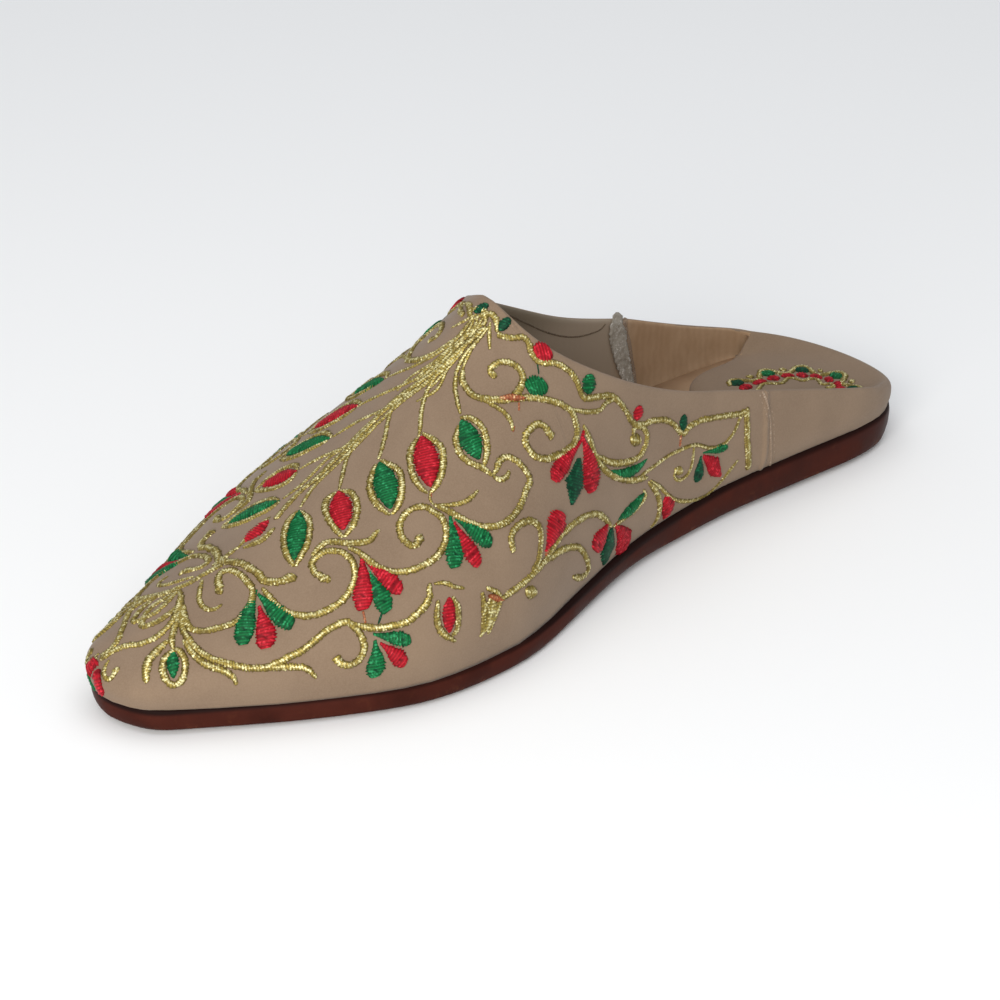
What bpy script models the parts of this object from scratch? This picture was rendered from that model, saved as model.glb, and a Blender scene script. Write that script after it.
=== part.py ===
"""Pointed leather slipper with a folded-down back: outsole, insole and hollow upper.

Metres, +Z up, +X towards the toe, +Y towards the inner (medial) side of this right shoe.
The origin is on the floor, below the middle of the shoe's box.
"""

import bpy
import bmesh
import math
from mathutils import Vector

# Driving sizes, each of which can be changed by itself
SHOE_LENGTH = 0.274         # heel back to the upper's toe tip
BALL_WIDTH = 0.0945         # widest place of the outline, across both sides
HEEL_WIDTH = 0.060          # across the round heel
SWING = 0.0088              # sideways bend of the centre line from ball to heel
INSTEP_HEIGHT = 0.0785      # floor to the throat's peak
TOE_HEIGHT = 0.0125         # floor to the top of the toe tip
FOREFOOT_SOLE = 0.0065      # outsole thickness under the ball
HEEL_SOLE = 0.0112          # outsole thickness at the heel, a low wedge
ARCH_LIFT = 0.0016          # how far the waist's underside stands off the floor
TOE_SPRING = 0.0012         # how far the tip's underside stands off the floor
TOE_OVERHANG = 0.0012       # upper's tip past the sole's tip
SOLE_UNDERCUT = 0.0012      # sole's lower edge in from its upper edge
HEEL_UNDERCUT = 0.0030      # as much again at the heel back
SOLE_ROUNDING = 0.0006      # sole's side out past a straight line
UPPER_WALL = 0.0016         # leather and lining together
FOOT_INSET = 0.0016         # upper's foot in from its widest line
BULGE_HEIGHT = 0.0065       # widest line of the upper above the sole
INSOLE_THICKNESS = 0.0012
INSOLE_EASE = 0.0008        # insole's edge in from the upper's inner face
SEAT_GAP = 0.0003           # between one piece and the next
SEAM_ALONG = 0.0680         # side seams from the heel back
SEAM_HEIGHT = 0.0350        # floor to the side seams' top
BACK_HEIGHT = 0.0157        # floor to the fold at the heel back
OUTER_SAG = 0.0018          # how far the outer heel wall's edge sags below a straight fall
SEAM_RIB = 0.0007           # raised side seam
SEAM_RIB_WIDTH = 0.0022
FOLD_RADIUS = 0.0024        # outer radius of the folded-down back
FLAP_CORNER = 0.0185        # fold's ends from the heel back
FLAP_FRONT = 0.0520         # folded flap's front edge from the heel back
FLAP_WIDTH = 0.0450         # folded flap's front edge, side to side
FLAP_BOW = 0.0030           # how far the front edge bows forward in its middle
FLAP_ROUNDING = 0.0060      # how far the front edge's corners are rounded back

# How finely the shapes are divided
RIB_ROWS = 13               # from the foot to the ridge or the collar
ARC_STEPS = 28
FOOT_STEPS = 4
FOLD_STEPS = 6
FLAP_ROWS = 9
HEEL_STEPS = 11
WALL_STEPS = 4              # from the round heel to the side seams
THROAT_STEPS = 12           # from the side seams to the peak
VAMP_STEPS = 12             # from the peak to the round toe
TOE_STEPS = 9
SOLE_STEPS = 44
INSOLE_STEPS = 34
SMOOTH_ANGLE = 40           # degrees over which an edge stays sharp

# Outline of the last: along is a share of the length from the heel back, and each half
# width is ball shares of half the ball width plus heel shares of half the heel width
OUTLINE = (
    {"along": 0.000, "ball": 0.000, "heel": 0.000},
    {"along": 0.015, "ball": 0.000, "heel": 0.555},
    {"along": 0.037, "ball": 0.000, "heel": 0.795},
    {"along": 0.074, "ball": 0.000, "heel": 0.945},
    {"along": 0.126, "ball": 0.000, "heel": 0.998},
    {"along": 0.200, "ball": 0.000, "heel": 1.000},
    {"along": 0.290, "ball": 0.010, "heel": 0.970},
    {"along": 0.350, "ball": 0.080, "heel": 0.887},
    {"along": 0.410, "ball": 0.190, "heel": 0.755},
    {"along": 0.465, "ball": 0.340, "heel": 0.595},
    {"along": 0.515, "ball": 0.515, "heel": 0.432},
    {"along": 0.565, "ball": 0.705, "heel": 0.258},
    {"along": 0.610, "ball": 0.850, "heel": 0.154},
    {"along": 0.655, "ball": 0.960, "heel": 0.060},
    {"along": 0.700, "ball": 1.000, "heel": 0.000},
    {"along": 0.750, "ball": 0.968, "heel": 0.000},
    {"along": 0.800, "ball": 0.862, "heel": 0.000},
    {"along": 0.840, "ball": 0.745, "heel": 0.000},
    {"along": 0.875, "ball": 0.635, "heel": 0.000},
    {"along": 0.915, "ball": 0.498, "heel": 0.000},
    {"along": 0.950, "ball": 0.385, "heel": 0.000},
    {"along": 0.980, "ball": 0.295, "heel": 0.000},
    {"along": 1.000, "ball": 0.000, "heel": 0.000},
)

# Centre line of the outline and line of the ridge: shares of the swing, plus to the inner side
CENTRE = (
    {"along": 0.00, "middle": -0.68, "ridge": -0.68},
    {"along": 0.17, "middle": -0.68, "ridge": -0.68},
    {"along": 0.30, "middle": -0.58, "ridge": -0.58},
    {"along": 0.41, "middle": -0.34, "ridge": -0.34},
    {"along": 0.515, "middle": -0.04, "ridge": -0.04},
    {"along": 0.60, "middle": 0.18, "ridge": 0.17},
    {"along": 0.70, "middle": 0.34, "ridge": 0.30},
    {"along": 0.80, "middle": 0.50, "ridge": 0.32},
    {"along": 0.92, "middle": 0.57, "ridge": 0.32},
    {"along": 1.00, "middle": 0.34, "ridge": 0.34},
)

# Ridge of the last: height is a share of the way from toe height to instep height, and
# each side's crown sharpens the section's top where over 1 and fills it where under 1
RIDGE = (
    {"along": 0.00, "height": 1.20, "inner": 1.00, "outer": 1.00},
    {"along": 0.30, "height": 1.22, "inner": 1.00, "outer": 1.00},
    {"along": 0.44, "height": 1.18, "inner": 1.15, "outer": 1.15},
    {"along": 0.50, "height": 1.10, "inner": 1.35, "outer": 1.35},
    {"along": 0.544, "height": 1.000, "inner": 1.45, "outer": 1.60},
    {"along": 0.595, "height": 0.840, "inner": 1.35, "outer": 1.45},
    {"along": 0.645, "height": 0.705, "inner": 1.20, "outer": 1.38},
    {"along": 0.700, "height": 0.585, "inner": 1.08, "outer": 1.45},
    {"along": 0.790, "height": 0.405, "inner": 1.00, "outer": 1.75},
    {"along": 0.860, "height": 0.280, "inner": 0.98, "outer": 2.00},
    {"along": 0.940, "height": 0.150, "inner": 0.97, "outer": 1.70},
    {"along": 0.985, "height": 0.055, "inner": 1.00, "outer": 1.05},
    {"along": 1.00, "height": 0.000, "inner": 1.00, "outer": 1.00},
)

# Collar from the side seams to the peak: reach is the share of the way from the seam to
# the peak, inner and outer the share of the height between them on each side
COLLAR = (
    {"reach": 0.00, "inner": 0.000, "outer": 0.060},
    {"reach": 0.18, "inner": 0.100, "outer": 0.160},
    {"reach": 0.38, "inner": 0.210, "outer": 0.290},
    {"reach": 0.52, "inner": 0.320, "outer": 0.430},
    {"reach": 0.66, "inner": 0.450, "outer": 0.560},
    {"reach": 0.78, "inner": 0.580, "outer": 0.685},
    {"reach": 0.88, "inner": 0.700, "outer": 0.795},
    {"reach": 0.945, "inner": 0.800, "outer": 0.880},
    {"reach": 0.980, "inner": 0.890, "outer": 0.945},
    {"reach": 1.000, "inner": 1.000, "outer": 1.000},
)

# Underside and top of the sole: arch and spring are shares of arch lift and toe spring,
# and wedge the share of the way from the forefoot's thickness to the heel's
SOLE = (
    {"along": 0.00, "arch": 0.0, "spring": 0.0, "wedge": 1.00},
    {"along": 0.17, "arch": 0.0, "spring": 0.0, "wedge": 1.00},
    {"along": 0.30, "arch": 0.0, "spring": 0.0, "wedge": 0.88},
    {"along": 0.37, "arch": 0.2, "spring": 0.0, "wedge": 0.76},
    {"along": 0.46, "arch": 1.0, "spring": 0.0, "wedge": 0.54},
    {"along": 0.55, "arch": 0.4, "spring": 0.0, "wedge": 0.24},
    {"along": 0.62, "arch": 0.0, "spring": 0.0, "wedge": 0.08},
    {"along": 0.70, "arch": 0.0, "spring": 0.0, "wedge": 0.00},
    {"along": 0.86, "arch": 0.0, "spring": 0.0, "wedge": 0.03},
    {"along": 0.95, "arch": 0.0, "spring": 0.3, "wedge": 0.18},
    {"along": 1.00, "arch": 0.0, "spring": 1.0, "wedge": 0.30},
)

PEAK_ALONG = 0.544           # throat's peak, share of the length from the heel back
HEEL_RADIUS = HEEL_WIDTH / 2
SOLE_LENGTH = SHOE_LENGTH - TOE_OVERHANG
TOE_CENTRE = SHOE_LENGTH - 0.16 * BALL_WIDTH    # where the spine of the last ends
TOE_START = SHOE_LENGTH - 0.42 * BALL_WIDTH     # where the stations draw together
PEAK_X = PEAK_ALONG * SHOE_LENGTH
BULGE_SHARE = 0.4            # the widest line stays below this share of a low wall
THROAT_CROWDING = 2.1        # how much closer the stations are towards the peak
ROUND_FROM = 0.6             # share of the flap's half width where its corners begin
DROP_LENGTH = 3 * FOLD_RADIUS
QUARTER = math.pi / 2
NEAR, FAR = 1, -1


def read(table, key, column, at):
    """Smooth value of one column of a table, by cubic pieces that don't overshoot."""
    rows = [(row[key], row[column]) for row in table]
    at = min(max(at, rows[0][0]), rows[-1][0])
    slopes = []
    for (x0, y0), (x1, y1) in zip(rows, rows[1:]):
        slopes.append((y1 - y0) / (x1 - x0))
    tangents = [slopes[0]]
    for before, after in zip(slopes, slopes[1:]):
        same_way = before * after > 0
        tangents.append(2 * before * after / (before + after) if same_way else 0.0)
    tangents.append(slopes[-1])
    for i in range(len(rows) - 1):
        (x0, y0), (x1, y1) = rows[i], rows[i + 1]
        if at <= x1:
            break
    step = x1 - x0
    t = (at - x0) / step
    return (
        y0 * (1 + 2 * t) * (1 - t) ** 2
        + y1 * t * t * (3 - 2 * t)
        + tangents[i] * step * t * (1 - t) ** 2
        - tangents[i + 1] * step * t * t * (1 - t)
    )


def half_width(along):
    """Half of the outline's width: its square is what runs smoothly into both round ends."""
    squares = []
    for row in OUTLINE:
        width = row["ball"] * BALL_WIDTH / 2 + row["heel"] * HEEL_WIDTH / 2
        squares.append({"along": row["along"], "square": width * width})
    return math.sqrt(max(read(squares, "along", "square", along), 0.0))


def centre_y(along):
    return SWING * read(CENTRE, "along", "middle", along)


def ridge_y(along):
    return SWING * read(CENTRE, "along", "ridge", along)


def sole_underside(along):
    arch = ARCH_LIFT * read(SOLE, "along", "arch", along)
    return arch + TOE_SPRING * read(SOLE, "along", "spring", along)


def sole_top(along):
    wedge = read(SOLE, "along", "wedge", along)
    return FOREFOOT_SOLE + (HEEL_SOLE - FOREFOOT_SOLE) * wedge


def ridge_height(along):
    return TOE_HEIGHT + (INSTEP_HEIGHT - TOE_HEIGHT) * read(RIDGE, "along", "height", along)


def collar_height(x, side):
    """Height of the top edge behind the peak: a straight fall at the heel, a curve in front."""
    column = "inner" if side == NEAR else "outer"
    peak_height = ridge_height(PEAK_ALONG)
    reach = max(0.0, (x - SEAM_ALONG) / (PEAK_X - SEAM_ALONG))
    height = SEAM_HEIGHT + (peak_height - SEAM_HEIGHT) * read(COLLAR, "reach", column, reach)
    if x < SEAM_ALONG:
        share = x / SEAM_ALONG
        sag = 0.0 if side == NEAR else OUTER_SAG * 4 * share * (1 - share)
        height = BACK_HEIGHT + (height - BACK_HEIGHT) * share - sag
    return height


def inward(x, y):
    """Level direction from a point of the outline to the spine of the last."""
    spine_x = min(max(x, HEEL_RADIUS), TOE_CENTRE)
    spine = Vector((spine_x, centre_y(spine_x / SHOE_LENGTH)))
    way = spine - Vector((x, y))
    return way.normalized()


def foot_inset(x):
    """How far the upper's foot is in from its widest line: more where its tip overhangs."""
    toe_share = max(0.0, (x - TOE_CENTRE) / (SHOE_LENGTH - TOE_CENTRE))
    return FOOT_INSET + (TOE_OVERHANG - FOOT_INSET / 2) * toe_share ** 2


def seam_swell(x, height_share):
    """Outward swell of the raised side seam at this place along the shoe."""
    distance = abs(x - SEAM_ALONG) / (SEAM_RIB_WIDTH / 2)
    return SEAM_RIB * max(0.0, 1 - distance * distance) * min(1.0, height_share * 8)


def resample(points, count):
    """The same line through count points, evenly spaced along it."""
    lengths = [0.0]
    for a, b in zip(points, points[1:]):
        lengths.append(lengths[-1] + (b - a).length)
    result = []
    for k in range(count):
        target = lengths[-1] * k / (count - 1)
        i = 0
        while i < len(points) - 2 and lengths[i + 1] < target:
            i += 1
        span = lengths[i + 1] - lengths[i]
        share = (target - lengths[i]) / span if span > 0 else 0.0
        result.append(points[i].lerp(points[i + 1], min(max(share, 0.0), 1.0)))
    return result


def rib(x, side):
    """Outer face of the upper from its foot to its ridge, or to the collar behind the peak."""
    along = x / SHOE_LENGTH
    width = half_width(along)
    middle = centre_y(along)
    y = middle + side * width
    way = inward(x, y)
    inset = foot_inset(x)
    foot_z = sole_top(along) + SEAT_GAP
    open_top = x < PEAK_X
    top_z = collar_height(x, side) if open_top else ridge_height(along)
    swell_z = foot_z + min(BULGE_HEIGHT, BULGE_SHARE * (top_z - foot_z))
    points = []
    for step in range(FOOT_STEPS):
        turn = QUARTER * step / FOOT_STEPS
        inward_by = inset * (1 - math.sin(turn))
        z = swell_z - (swell_z - foot_z) * math.cos(turn)
        points.append(Vector((x + way.x * inward_by, y + way.y * inward_by, z)))
    ridge_z = ridge_height(along)
    crown = read(RIDGE, "along", "inner" if side == NEAR else "outer", along)
    folded = x <= FLAP_CORNER
    wall_z = top_z - FOLD_RADIUS if folded else top_z
    end = math.asin(min(1.0, (wall_z - swell_z) / (ridge_z - swell_z))) if open_top else QUARTER
    heel_x = x < HEEL_RADIUS
    reach = HEEL_RADIUS if heel_x else side * (y - ridge_y(along))
    for step in range(ARC_STEPS + 1):
        turn = end * step / ARC_STEPS
        lean = reach * (1 - max(math.cos(turn), 0.0) ** crown)
        z = swell_z + (ridge_z - swell_z) * math.sin(turn)
        if heel_x:
            points.append(Vector((x + way.x * lean, y + way.y * lean, z)))
        else:
            points.append(Vector((x, y - side * lean, z)))
    if folded:
        top = points[-1]
        for step in range(1, FOLD_STEPS + 1):
            turn = QUARTER * step / FOLD_STEPS
            inward_by = FOLD_RADIUS * (1 - math.cos(turn))
            up = FOLD_RADIUS * math.sin(turn)
            points.append(top + Vector((way.x * inward_by, way.y * inward_by, up)))
    rows = resample(points, RIB_ROWS)
    if abs(x - SEAM_ALONG) < SEAM_RIB_WIDTH:
        for k, row in enumerate(rows):
            row.y += side * seam_swell(x, (k + 1) / RIB_ROWS)
    return rows


def heel_stations():
    """Places along the round heel, closer together towards its back."""
    turns = [QUARTER * k / HEEL_STEPS for k in range(HEEL_STEPS + 1)]
    return [HEEL_RADIUS * (1 - math.cos(turn)) for turn in turns]


def wall_stations():
    """Places along the shoe from the heel back to the toe tip."""
    half_rib = SEAM_RIB_WIDTH / 2
    seam = [SEAM_ALONG + half_rib * share for share in (-2.2, -1, -0.5, 0, 0.5, 1, 2.2)]
    stations = heel_stations()
    stations += between(stations[-1], seam[0], WALL_STEPS)[1:-1] + seam
    for k in range(1, THROAT_STEPS + 1):
        share = 1 - (1 - k / THROAT_STEPS) ** THROAT_CROWDING
        stations.append(seam[-1] + (PEAK_X - seam[-1]) * share)
    stations += between(PEAK_X, TOE_START, VAMP_STEPS)[1:]
    for k in range(1, TOE_STEPS + 1):
        stations.append(TOE_START + (SHOE_LENGTH - TOE_START) * math.sin(QUARTER * k / TOE_STEPS))
    return stations


def between(start, end, steps):
    return [start + (end - start) * k / steps for k in range(steps + 1)]


def flap_points(fold, rows):
    """The folded-down leather from the fold line to its front edge, lying on the insole."""
    middle = centre_y(FLAP_FRONT / SHOE_LENGTH)
    flat_z = sole_top(0.0) + 2 * SEAT_GAP + INSOLE_THICKNESS + UPPER_WALL
    grid = []
    for row in range(1, rows + 1):
        share = row / rows
        line = []
        for k, start in enumerate(fold):
            across = 1 - 2 * k / (len(fold) - 1)
            corner = max(0.0, abs(across) - ROUND_FROM) / (1 - ROUND_FROM)
            rounding = FLAP_ROUNDING * corner ** 2
            front = Vector((
                FLAP_FRONT + FLAP_BOW * (1 - across * across) - rounding,
                middle + across * FLAP_WIDTH / 2,
                0.0,
            ))
            level = Vector((start.x, start.y, 0.0)).lerp(front, share)
            travelled = (level - Vector((start.x, start.y, 0.0))).length
            drop = min(1.0, travelled / DROP_LENGTH)
            ease = drop * drop * (3 - 2 * drop)
            level.z = start.z + (flat_z - start.z) * ease
            line.append(level)
        grid.append(line)
    return grid


def named_material(name, colour, roughness):
    material = bpy.data.materials.new(name)
    material.use_nodes = True
    shader = material.node_tree.nodes["Principled BSDF"]
    shader.inputs["Base Color"].default_value = (*colour, 1.0)
    shader.inputs["Roughness"].default_value = roughness
    shader.inputs["Metallic"].default_value = 0.0
    return material


def add_object(name, bm, material):
    """Moves the mesh so that the origin is below the middle of the shoe, then adds it."""
    bmesh.ops.translate(bm, verts=bm.verts, vec=Vector((-SHOE_LENGTH / 2, -box_middle_y(), 0)))
    bmesh.ops.recalc_face_normals(bm, faces=bm.faces)
    mesh = bpy.data.meshes.new(name)
    bm.to_mesh(mesh)
    bm.free()
    mesh.shade_smooth()
    mesh.set_sharp_from_angle(angle=math.radians(SMOOTH_ANGLE))
    mesh.materials.append(material)
    obj = bpy.data.objects.new(name, mesh)
    bpy.context.scene.collection.objects.link(obj)
    return obj


def box_middle_y():
    """Middle of the shoe's width, from the widest places of both sides."""
    sides = []
    for side in (NEAR, FAR):
        reaches = []
        for k in range(401):
            along = k / 400
            reaches.append(side * centre_y(along) + half_width(along))
        sides.append(max(reaches))
    return (sides[0] - sides[1]) / 2


def outline_ring(length, inset, height, count):
    """Closed ring round the last's outline, moved in squarely, from the heel back and round."""
    stations = [0.5 * (1 - math.cos(math.pi * k / count)) for k in range(count + 1)]
    edge = []
    for side, order in ((NEAR, stations), (FAR, stations[-2:0:-1])):
        for along in order:
            y = centre_y(along) + side * half_width(along)
            edge.append(Vector((along * length, y, 0.0)))
    ring = []
    for k, point in enumerate(edge):
        before, after = edge[k - 1], edge[(k + 1) % len(edge)]
        onward = (after - before).normalized()
        moved = point + Vector((onward.y, -onward.x, 0.0)) * inset(point.x)
        ring.append(Vector((moved.x, moved.y, height(moved.x / SHOE_LENGTH))))
    return ring


def bridge(bm, lower, upper):
    count = len(lower)
    for k in range(count):
        after = (k + 1) % count
        bm.faces.new((lower[k], lower[after], upper[after], upper[k]))


def cap(bm, ring, flip):
    """Closes a ring by strips across the shoe, so that the face follows the sole's curve."""
    half = len(ring) // 2
    for k in range(half):
        a, b = ring[k], ring[k + 1]
        c, d = ring[-(k + 1)], ring[-k] if k else ring[0]
        corners = [a, b, c] if k == 0 else [a, b, d] if k == half - 1 else [a, b, c, d]
        bm.faces.new(corners[::-1] if flip else corners)


def slab(name, length, rings, material, count):
    """Solid between stacked outline rings, each a pair of inset and height functions."""
    bm = bmesh.new()
    made = []
    for inset, height in rings:
        ring = outline_ring(length, inset, height, count)
        made.append([bm.verts.new(point) for point in ring])
    for lower, upper in zip(made, made[1:]):
        bridge(bm, lower, upper)
    cap(bm, made[0], True)
    cap(bm, made[-1], False)
    return add_object(name, bm, material)


def make_outsole():
    """One moulded unit sole: low wedge, lifted waist, toe spring and softly rounded side."""
    material = named_material("sole_brown", (0.060, 0.018, 0.013), 0.42)

    def at(share):
        def height(along):
            low = sole_underside(along)
            return low + (sole_top(along) - low) * share
        return height

    def side(undercut, rounding):
        def inset(x):
            back = max(0.0, 1 - x / HEEL_RADIUS)
            lower = SOLE_UNDERCUT + HEEL_UNDERCUT * back ** 2
            return lower * undercut - SOLE_ROUNDING * rounding
        return inset

    rings = (
        (side(1.00, 0.0), at(0.0)),
        (side(0.55, 0.2), at(0.16)),
        (side(0.20, 0.3), at(0.42)),
        (side(0.00, 0.0), at(0.72)),
        (side(0.00, -0.5), at(0.93)),
        (side(0.00, -1.2), at(1.0)),
    )
    return slab("outsole", SOLE_LENGTH, rings, material, SOLE_STEPS)


def make_insole():
    """Thin sock on the sole, its edge just inside the upper's inner face."""
    material = named_material("insole_tan", (0.36, 0.19, 0.10), 0.55)

    def inset(x):
        return foot_inset(x) + UPPER_WALL + INSOLE_EASE

    def base(along):
        return sole_top(along) + SEAT_GAP

    def top(along):
        return base(along) + INSOLE_THICKNESS

    return slab("insole", SHOE_LENGTH, ((inset, base), (inset, top)), material, INSOLE_STEPS)


def make_upper():
    """Hollow upper: vamp, side walls and heel wall with its back folded down inside."""
    material = named_material("nubuck_beige", (0.50, 0.36, 0.27), 0.85)
    stations = wall_stations()
    bm = bmesh.new()
    near = []
    far = []
    for x in stations:
        first = [bm.verts.new(point) for point in rib(x, NEAR)]
        closed_end = x in (stations[0], stations[-1])
        second = first if closed_end else [bm.verts.new(point) for point in rib(x, FAR)]
        if x >= PEAK_X - 1e-9 and not closed_end:
            bm.verts.remove(second[-1])
            second[-1] = first[-1]
        near.append(first)
        far.append(second)
    for side in (near, far):
        for line, after in zip(side, side[1:]):
            for row in range(RIB_ROWS - 1):
                corners = [line[row], after[row], after[row + 1], line[row + 1]]
                bm.faces.new(list(dict.fromkeys(corners)))
    fold_count = sum(1 for x in stations if x <= FLAP_CORNER)
    fold = [near[k][-1] for k in range(fold_count - 1, -1, -1)]
    fold += [far[k][-1] for k in range(1, fold_count)]
    last = fold
    for line in flap_points([vert.co.copy() for vert in fold], FLAP_ROWS):
        row = [bm.verts.new(point) for point in line]
        for k in range(len(row) - 1):
            bm.faces.new((last[k], last[k + 1], row[k + 1], row[k]))
        last = row
    obj = add_object("upper", bm, material)
    wall = obj.modifiers.new("wall", "SOLIDIFY")
    wall.thickness = UPPER_WALL
    wall.offset = -1.0
    wall.use_even_offset = True
    wall.use_rim = True
    return obj


def main():
    for obj in list(bpy.data.objects):
        bpy.data.objects.remove(obj)
    make_outsole()
    make_insole()
    make_upper()


main()
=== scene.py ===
import math
import random

import bpy
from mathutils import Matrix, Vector
from mathutils.bvhtree import BVHTree


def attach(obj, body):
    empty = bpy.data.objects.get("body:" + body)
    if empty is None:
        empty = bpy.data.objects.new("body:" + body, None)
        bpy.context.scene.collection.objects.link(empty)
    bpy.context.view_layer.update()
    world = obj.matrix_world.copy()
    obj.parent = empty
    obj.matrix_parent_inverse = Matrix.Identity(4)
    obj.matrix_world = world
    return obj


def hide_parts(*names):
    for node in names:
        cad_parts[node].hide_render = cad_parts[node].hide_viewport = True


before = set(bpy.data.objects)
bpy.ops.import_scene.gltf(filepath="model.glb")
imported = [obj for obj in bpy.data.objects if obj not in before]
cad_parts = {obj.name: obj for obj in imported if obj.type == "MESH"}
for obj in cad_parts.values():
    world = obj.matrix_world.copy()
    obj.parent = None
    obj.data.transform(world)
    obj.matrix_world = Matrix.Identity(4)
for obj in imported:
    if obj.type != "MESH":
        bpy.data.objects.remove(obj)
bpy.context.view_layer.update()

print("scene: the packed slipper is loaded")

# small helpers
def selectOnly(piece):
    if bpy.context.object and bpy.context.object.mode != "OBJECT":
        bpy.ops.object.mode_set(mode="OBJECT")
    bpy.ops.object.select_all(action="DESELECT")
    piece.select_set(True)
    bpy.context.view_layer.objects.active = piece


def applyModifiers(piece):
    selectOnly(piece)
    for modifier in list(piece.modifiers):
        bpy.ops.object.modifier_apply(modifier=modifier.name)


def pickFaces(piece, wanted):
    # leaves the piece in edit mode with the wanted faces selected
    selectOnly(piece)
    bpy.context.tool_settings.mesh_select_mode = (False, False, True)
    piece.data.vertices.foreach_set("select", [False] * len(piece.data.vertices))
    piece.data.edges.foreach_set("select", [False] * len(piece.data.edges))
    for face in piece.data.polygons:
        face.select = wanted(face)
    bpy.ops.object.mode_set(mode="EDIT")


def declare(piece, nodeName=None):
    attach(piece, "root")
    if nodeName:
        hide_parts(nodeName)


# the camera stands where the photo was taken from, in metres and degrees
cameraValues = {
    "place": Vector((0.4448, 0.5191, 0.3678)),
    "turn": 40.0,
    "down": 27.25,
    "lens": 102.8,
    "sensor": 36.0,
    "photoSize": 1000.0,
}


def makeCamera(values):
    turn = math.radians(values["turn"])
    down = math.radians(values["down"])
    look = Vector((-math.sin(turn) * math.cos(down), -math.cos(turn) * math.cos(down), -math.sin(down)))
    data = bpy.data.cameras.new("photoCamera")
    data.lens = values["lens"]
    data.sensor_width = values["sensor"]
    camera = bpy.data.objects.new("photoCamera", data)
    camera.location = values["place"]
    camera.rotation_euler = look.to_track_quat("-Z", "Y").to_euler()
    bpy.context.scene.collection.objects.link(camera)
    bpy.context.scene.camera = camera
    right = look.cross(Vector((0, 0, 1))).normalized()
    up = right.cross(look).normalized()
    return look, right, up


lookAxis, rightAxis, upAxis = makeCamera(cameraValues)


def photoRay(spot):
    # the ray through one spot of the photo, in its pixels
    half = cameraValues["photoSize"] / 2
    spread = cameraValues["sensor"] / cameraValues["lens"] / 2
    across = (spot[0] - half) / half * spread
    rise = (half - spot[1]) / half * spread
    return (lookAxis + rightAxis * across + upAxis * rise).normalized()


# soft studio light: one broad light beside the camera, a weak one above, a dim room
lightValues = {
    "key": {"place": (0.87, 0.62, 0.46), "size": 0.6, "power": 11.0, "colour": (1.0, 0.98, 0.95)},
    "top": {"place": (0.05, 0.05, 1.9), "size": 2.2, "power": 13.5, "colour": (0.97, 0.98, 1.0)},
    "aim": (0.0, 0.0, 0.03),
    "room": (0.92, 0.95, 1.0, 1.0),
    "roomStrength": 0.48,
}
for lightName in ("key", "top"):
    light = lightValues[lightName]
    lightData = bpy.data.lights.new(lightName + "Light", "AREA")
    lightData.size = light["size"]
    lightData.energy = light["power"]
    lightData.color = light["colour"]
    lightObject = bpy.data.objects.new(lightName + "Light", lightData)
    lightObject.location = light["place"]
    aim = Vector(lightValues["aim"]) - lightObject.location
    lightObject.rotation_euler = aim.to_track_quat("-Z", "Y").to_euler()
    bpy.context.scene.collection.objects.link(lightObject)
bpy.context.scene.view_settings.view_transform = "Standard"  # plain colours, as in the photo
world = bpy.data.worlds.new("studioRoom")
world.use_nodes = True
room = world.node_tree.nodes["Background"]
room.inputs["Color"].default_value = lightValues["room"]
room.inputs["Strength"].default_value = lightValues["roomStrength"]
bpy.context.scene.world = world

# node helpers for the materials
def feed(tree, socket, value):
    # a number or a colour is set on the socket, and a node's output is plugged into it
    if isinstance(value, tuple):
        socket.default_value = (*value, 1.0)
    elif isinstance(value, (int, float)):
        socket.default_value = value
    else:
        tree.links.new(value, socket)


def makeNode(tree, kind, sockets, **settings):
    node = tree.nodes.new(kind)
    for key, value in settings.items():
        setattr(node, key, value)
    for socketName, value in sockets.items():
        feed(tree, node.inputs[socketName], value)
    return node


def mathNode(tree, operation, *values):
    return makeNode(tree, "ShaderNodeMath", dict(enumerate(values)), operation=operation).outputs[0]


def times(tree, first, second):
    return mathNode(tree, "MULTIPLY", first, second)


def plus(tree, first, second):
    return mathNode(tree, "ADD", first, second)


def rangeNode(tree, value, low, high, newLow=0.0, newHigh=1.0):
    sockets = {"Value": value, "From Min": low, "From Max": high, "To Min": newLow, "To Max": newHigh}
    node = makeNode(tree, "ShaderNodeMapRange", sockets, clamp=True, interpolation_type="SMOOTHSTEP")
    return node.outputs["Result"]


def mixColours(tree, factor, first, second):
    sockets = {0: factor, 6: first, 7: second}
    return makeNode(tree, "ShaderNodeMix", sockets, data_type="RGBA", clamp_factor=True).outputs[2]


def noiseNode(tree, vector, scale, detail=2.0, roughness=0.5, distortion=0.0):
    sockets = {"Vector": vector, "Scale": scale, "Detail": detail, "Roughness": roughness}
    sockets["Distortion"] = distortion
    return makeNode(tree, "ShaderNodeTexNoise", sockets).outputs["Fac"]


def bandsNode(tree, vector, sockets):
    sockets = {"Vector": vector, **sockets}
    node = makeNode(tree, "ShaderNodeTexWave", sockets, wave_type="BANDS", bands_direction="X")
    return node.outputs["Fac"]


def bumpNode(tree, height, strength, distance):
    sockets = {"Height": height, "Strength": strength, "Distance": distance}
    return makeNode(tree, "ShaderNodeBump", sockets).outputs["Normal"]


def axisOf(tree, vector, letter):
    return makeNode(tree, "ShaderNodeSeparateXYZ", {0: vector}).outputs[letter]


def newMaterial(name):
    material = bpy.data.materials.new(name)
    material.use_nodes = True
    tree = material.node_tree
    place = tree.nodes.new("ShaderNodeTexCoord").outputs["Object"]
    return material, tree, place


def finishShader(tree, sockets):
    shader = tree.nodes["Principled BSDF"]
    for socketName, value in sockets.items():
        feed(tree, shader.inputs[socketName], value)


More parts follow.
